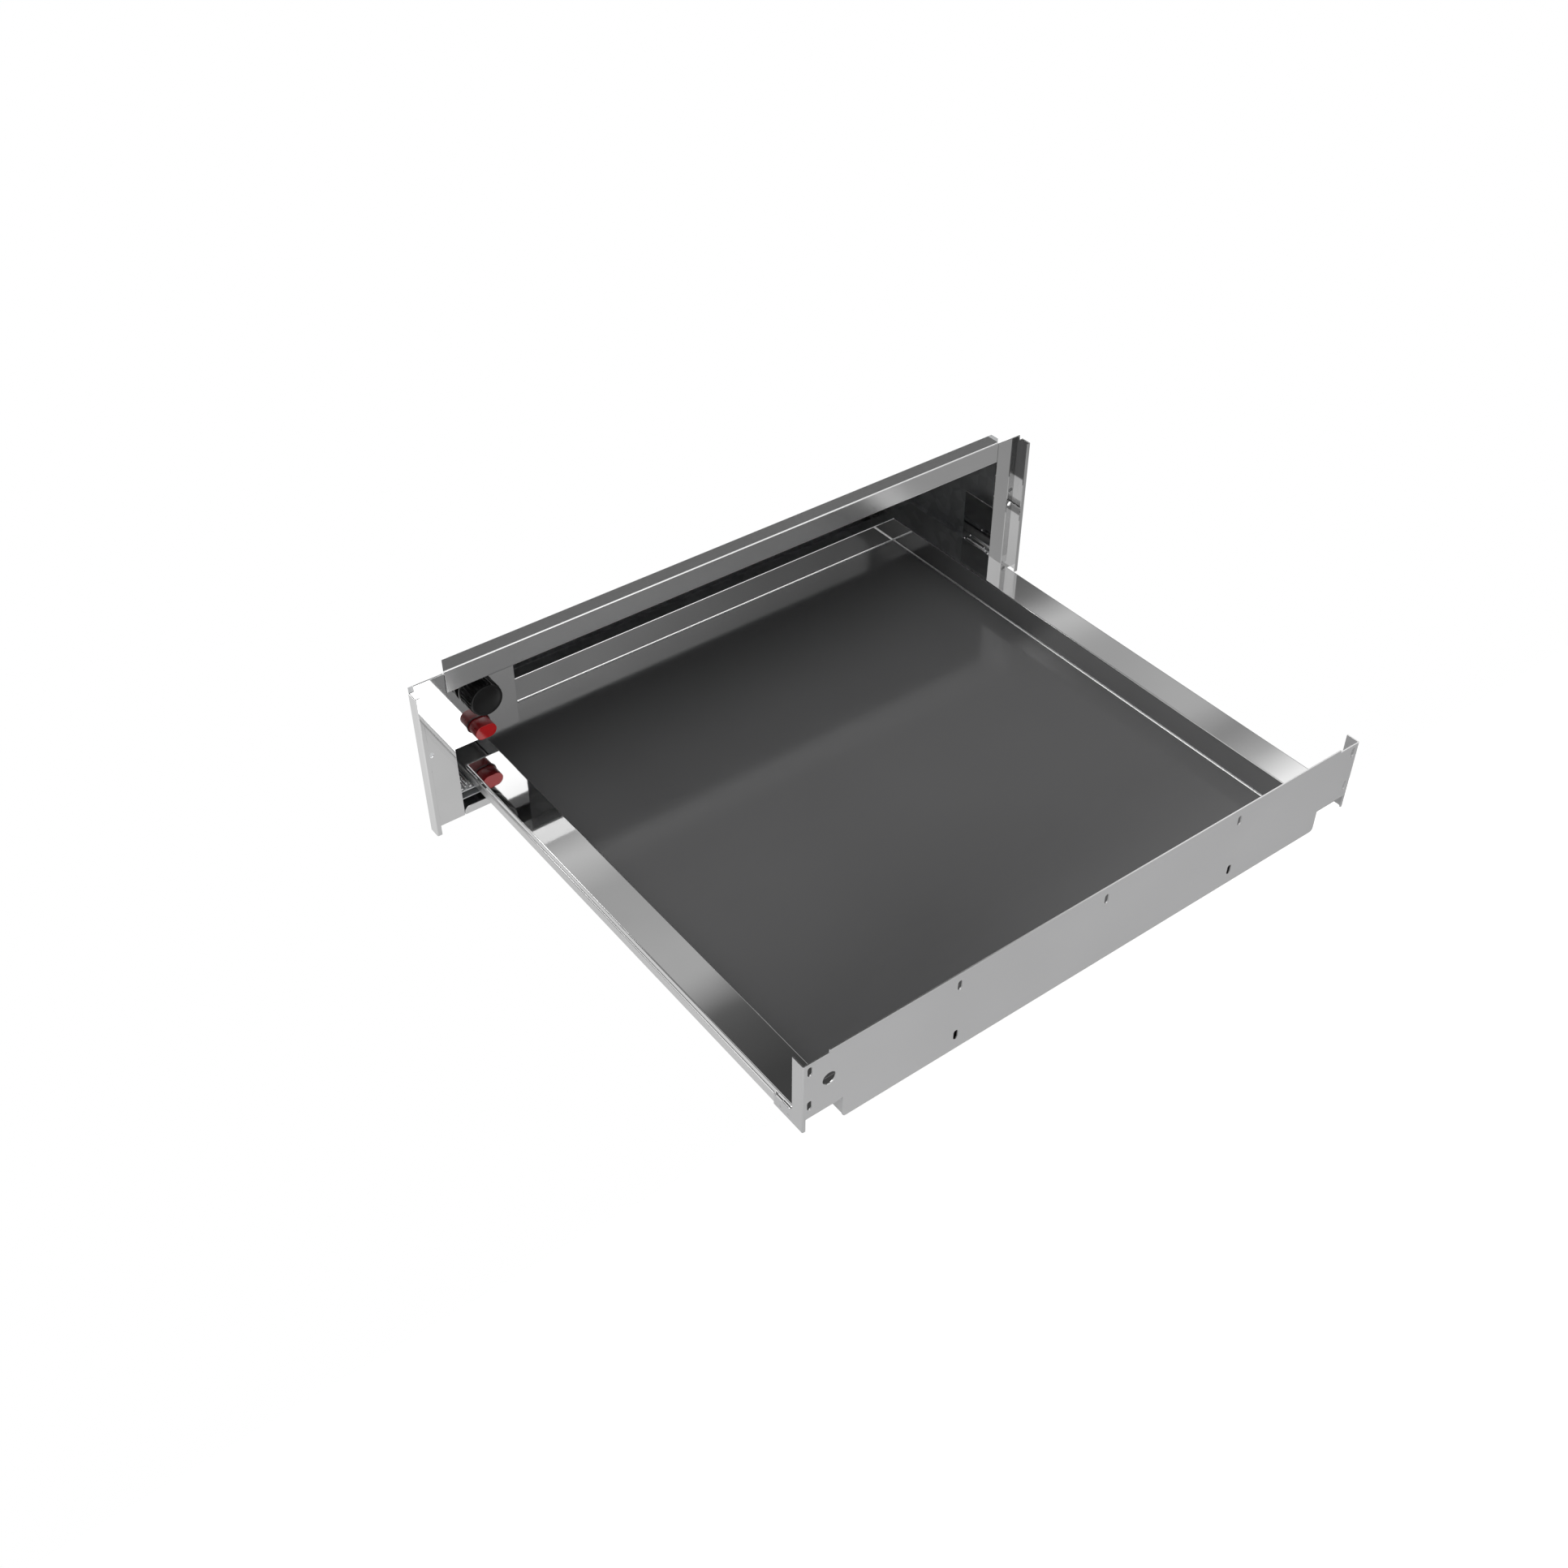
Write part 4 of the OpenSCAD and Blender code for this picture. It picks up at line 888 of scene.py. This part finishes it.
class DRAWER_OT_screws(bpy.types.Operator):
    """Puts sheet metal screws with washer heads in the place of the plain ones"""
    bl_idname = "drawer.screws"
    bl_label = "Screws"

    def execute(self, context):
        for node in ("housing_screws", "rail_screws"):
            solids = solids_of(node)
            _, radius, height = self.measure(*solids[0])
            pattern = self.model(radius, height)
            copies = []
            for low, high in solids:
                axis, _, _ = self.measure(low, high)
                middle = (low + high) / 2
                outward = Vector((0, 0, 0))
                outward[axis] = 1.0 if middle[axis] > 0 else -1.0
                turn = Vector((0, 0, 1)).rotation_difference(outward).to_matrix().to_4x4()
                copies.append(copy_piece(pattern, Matrix.Translation(middle) @ turn))
            bpy.data.objects.remove(pattern)
            screws = join(f"{node}_with_heads", copies)
            hand_over(screws, [finish("slide_steel")], BODIES[node], SLOTS[node], node)
        return {"FINISHED"}

    @staticmethod
    def measure(low, high):
        """Axis, radius and height of a plain screw. The side that differs from both others is its height."""
        span = high - low
        axis = max(range(3), key=lambda i: sum(abs(span[i] - other) for other in span))
        across = [span[i] for i in range(3) if i != axis]
        return axis, across[0] / 2, span[axis]

    @staticmethod
    def model(radius, height):
        """One screw along Z, its head upwards: a washer and a hexagon with a dished top."""
        washer_height = height * 0.3
        head_radius, head_height = radius * 0.78, height - washer_height
        rim, dish = radius * 0.18, height * 0.12
        washer_middle = (0, 0, (washer_height - height) / 2)
        head_middle = (0, 0, (height - head_height) / 2)
        washer = add_rod("screw_washer", washer_middle, radius, washer_height, sides=24, axis="Z")
        head = add_rod("screw_head", head_middle, head_radius, head_height, sides=6, axis="Z")
        edit()
        pick_faces(head, lambda centre, normal: normal.z > LOOKS_ALONG)
        bpy.ops.mesh.inset(thickness=rim)
        push((0, 0, -dish))
        leave_edit()
        return round_edges(join("screw", [head, washer]), radius=radius * 0.05, segments=2)


class DRAWER_OT_studio(bpy.types.Operator):
    """Builds the studio: camera, light, floor and the cabinet's white face"""
    bl_idname = "drawer.studio"
    bl_label = "Build the studio"

    def execute(self, context):
        settings = context.scene.studio_settings
        scene = context.scene
        scene.view_settings.view_transform = "Standard"
        self.place_camera(scene, settings)
        self.build_world(scene)
        self.build_floor(settings.floor_level)
        self.build_cabinet_face(settings.floor_level)
        self.build_lamps(scene)
        return {"FINISHED"}

    def place_camera(self, scene, settings):
        """The camera, from the front left and above."""
        camera = bpy.data.objects.new("camera", bpy.data.cameras.new("camera"))
        scene.collection.objects.link(camera)
        camera.data.sensor_width = 36.0
        camera.data.lens = settings.lens
        camera.data.clip_end = 50.0
        camera.location = settings.camera_place
        camera.rotation_euler = Euler(settings.camera_turn)
        scene.camera = camera

    def build_world(self, scene):
        """Soft boxes that run along the drawer's width, as bands of light in the sky: white to the camera."""
        world = bpy.data.worlds.new("studio_sky")
        scene.world = world
        world.use_nodes = True
        tree = world.node_tree
        direction = add_node(tree, "ShaderNodeTexCoord")
        parts = add_node(tree, "ShaderNodeSeparateXYZ")
        tree.links.new(direction.outputs["Generated"], parts.inputs["Vector"])
        height = sky_angle(tree, parts.outputs["Z"], parts.outputs["Y"])
        side = sky_angle(tree, parts.outputs["X"], parts.outputs["Y"])
        sky = add_node(tree, "ShaderNodeMix", data_type="RGBA")
        tree.links.new(sky_band(tree, side, SKY_TURN), sky.inputs["Factor"])
        tree.links.new(sky_band(tree, height, (*SKY_LOW, *SKY_LEFT, *SKY_FRONT_LEFT)), sky.inputs["A"])
        tree.links.new(sky_band(tree, height, (*SKY_LOW, *SKY_RIGHT, *SKY_FRONT_RIGHT)), sky.inputs["B"])
        banded = tree.nodes["Background"]
        tree.links.new(sky.outputs["Result"], banded.inputs["Color"])
        white = add_node(tree, "ShaderNodeBackground", Color=(1, 1, 1, 1))
        rays = add_node(tree, "ShaderNodeLightPath")
        mix_shaders(tree, rays.outputs["Is Camera Ray"], banded, white, "World Output")

    def build_floor(self, level):
        """Floor of the studio: white to the camera, and to every other ray a grey glow that turns paler to the left,
        seen in the steel and lighting the drawer from below.
        """
        bpy.ops.object.select_all(action="DESELECT")
        bpy.ops.mesh.primitive_plane_add(size=30, location=(0, 0, level))
        floor = bpy.context.object
        floor.name = "studio_floor"
        material, tree, shader = new_material("pale_floor")
        shader.inputs["Base Color"].default_value = (0.9, 0.9, 0.9, 1)
        shader.inputs["Roughness"].default_value = 0.9
        glow = add_node(tree, "ShaderNodeEmission", Strength=0.4)
        pale = add_node(tree, "ShaderNodeAddShader")
        tree.links.new(shader.outputs["BSDF"], pale.inputs[0])
        tree.links.new(glow.outputs["Emission"], pale.inputs[1])
        place = add_node(tree, "ShaderNodeSeparateXYZ")
        tree.links.new(place_pattern(tree), place.inputs["Vector"])
        # A glow, not a colour: light that the floor gives to the steel's reflections and to the drawer, paler to the
        # left
        grey = add_node(tree, "ShaderNodeEmission", Strength=1.0)
        tone = spread(tree, place.outputs["X"], 0.78, 0.31, start=-0.9, end=1.0)
        tree.links.new(tone, grey.inputs["Color"])
        rays = add_node(tree, "ShaderNodeLightPath")
        mix_shaders(tree, rays.outputs["Is Camera Ray"], grey, pale, "Material Output")
        floor.data.materials.append(material)

    def build_cabinet_face(self, floor_level):
        """White face of the cabinet round the frame: it shows from the front only and throws no shadow."""
        _, flange_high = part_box("frame_right")
        bar_low, bar_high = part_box("top_bar")
        skin, overlap, reach = 0.0002, 0.0005, 3.0
        inner, back = flange_high.x - overlap, bar_high.y + skin
        panels = [
            ((-reach, -inner), (floor_level, reach), skin),
            ((inner, reach), (floor_level, reach), skin),
            ((-inner, bar_low.x), (flange_high.z, reach), skin),
            ((bar_high.x, inner), (flange_high.z, reach), skin),
            ((-reach, reach), (bar_high.z, reach), back),
            ((-inner, inner), (floor_level, 0.0), skin),
        ]
        material, tree, _ = new_material("white_cabinet_face")
        glow = add_node(tree, "ShaderNodeEmission", Strength=1.0)
        clear = add_node(tree, "ShaderNodeBsdfTransparent")
        side = add_node(tree, "ShaderNodeNewGeometry")
        mix_shaders(tree, side.outputs["Backfacing"], glow, clear, "Material Output")
        for index, ((x0, x1), (z0, z1), y) in enumerate(panels):
            bpy.ops.object.select_all(action="DESELECT")
            bpy.ops.mesh.primitive_plane_add(size=1, location=((x0 + x1) / 2, y, (z0 + z1) / 2),
                                             rotation=(math.pi / 2, 0, 0))
            panel = bpy.context.object
            panel.name = f"cabinet_face_{index}"
            panel.scale = (x1 - x0, z1 - z0, 1)
            panel.data.materials.append(material)
            for ray in ("diffuse", "glossy", "transmission", "volume_scatter", "shadow"):
                setattr(panel, f"visible_{ray}", False)

    def build_lamps(self, scene):
        """Three soft lamps that look at the tray, each with its place, size and power in watts."""
        target = Vector((0, -0.2, 0.05))
        for name, place, size, power in (
            ("key_lamp", (-1.8, -1.2, 2.2), 1.6, 4.0),
            ("fill_lamp", (1.4, -2.2, 1.6), 1.6, 3.0),
            ("back_lamp", (-1.0, 2.0, 1.5), 1.2, 24.0),
        ):
            light = bpy.data.lights.new(name, "AREA")
            light.size = size
            light.energy = power
            lamp = bpy.data.objects.new(name, light)
            scene.collection.objects.link(lamp)
            lamp.location = place
            lamp.rotation_euler = (target - Vector(place)).to_track_quat("-Z", "Y").to_euler()


# Panel and registration

class VIEW3D_PT_drawer(bpy.types.Panel):
    """Lists the pieces to build and their sizes and colours"""
    bl_idname = "VIEW3D_PT_drawer"
    bl_label = "Warming drawer"
    bl_space_type = "VIEW_3D"
    bl_region_type = "UI"
    bl_category = "Drawer"

    def draw(self, context):
        column = self.layout.column()
        for operator in OPERATORS:
            column.operator(operator.bl_idname)
        for settings in (context.scene.drawer_settings, context.scene.studio_settings):
            for name in type(settings).__annotations__:
                column.prop(settings, name)


OPERATORS = (
    DRAWER_OT_studio, DRAWER_OT_finish_nodes, DRAWER_OT_floor_bead, DRAWER_OT_temperature_knob,
    DRAWER_OT_power_button, DRAWER_OT_apron_channel, DRAWER_OT_closing_springs, DRAWER_OT_screws,
)
CLASSES = (DrawerSettings, StudioSettings, *OPERATORS, VIEW3D_PT_drawer)


def register():
    for entry in CLASSES:
        bpy.utils.register_class(entry)
    bpy.types.Scene.drawer_settings = bpy.props.PointerProperty(type=DrawerSettings)
    bpy.types.Scene.studio_settings = bpy.props.PointerProperty(type=StudioSettings)


def unregister():
    del bpy.types.Scene.studio_settings
    del bpy.types.Scene.drawer_settings
    for entry in reversed(CLASSES):
        bpy.utils.unregister_class(entry)


def main():
    register()
    bpy.ops.drawer.studio()
    bpy.ops.drawer.finish_nodes()
    bpy.ops.drawer.floor_bead()
    bpy.ops.drawer.temperature_knob()
    bpy.ops.drawer.power_button()
    bpy.ops.drawer.apron_channel()
    bpy.ops.drawer.closing_springs()
    bpy.ops.drawer.screws()
    bpy.context.view_layer.update()


if __name__ == "__main__":
    main()
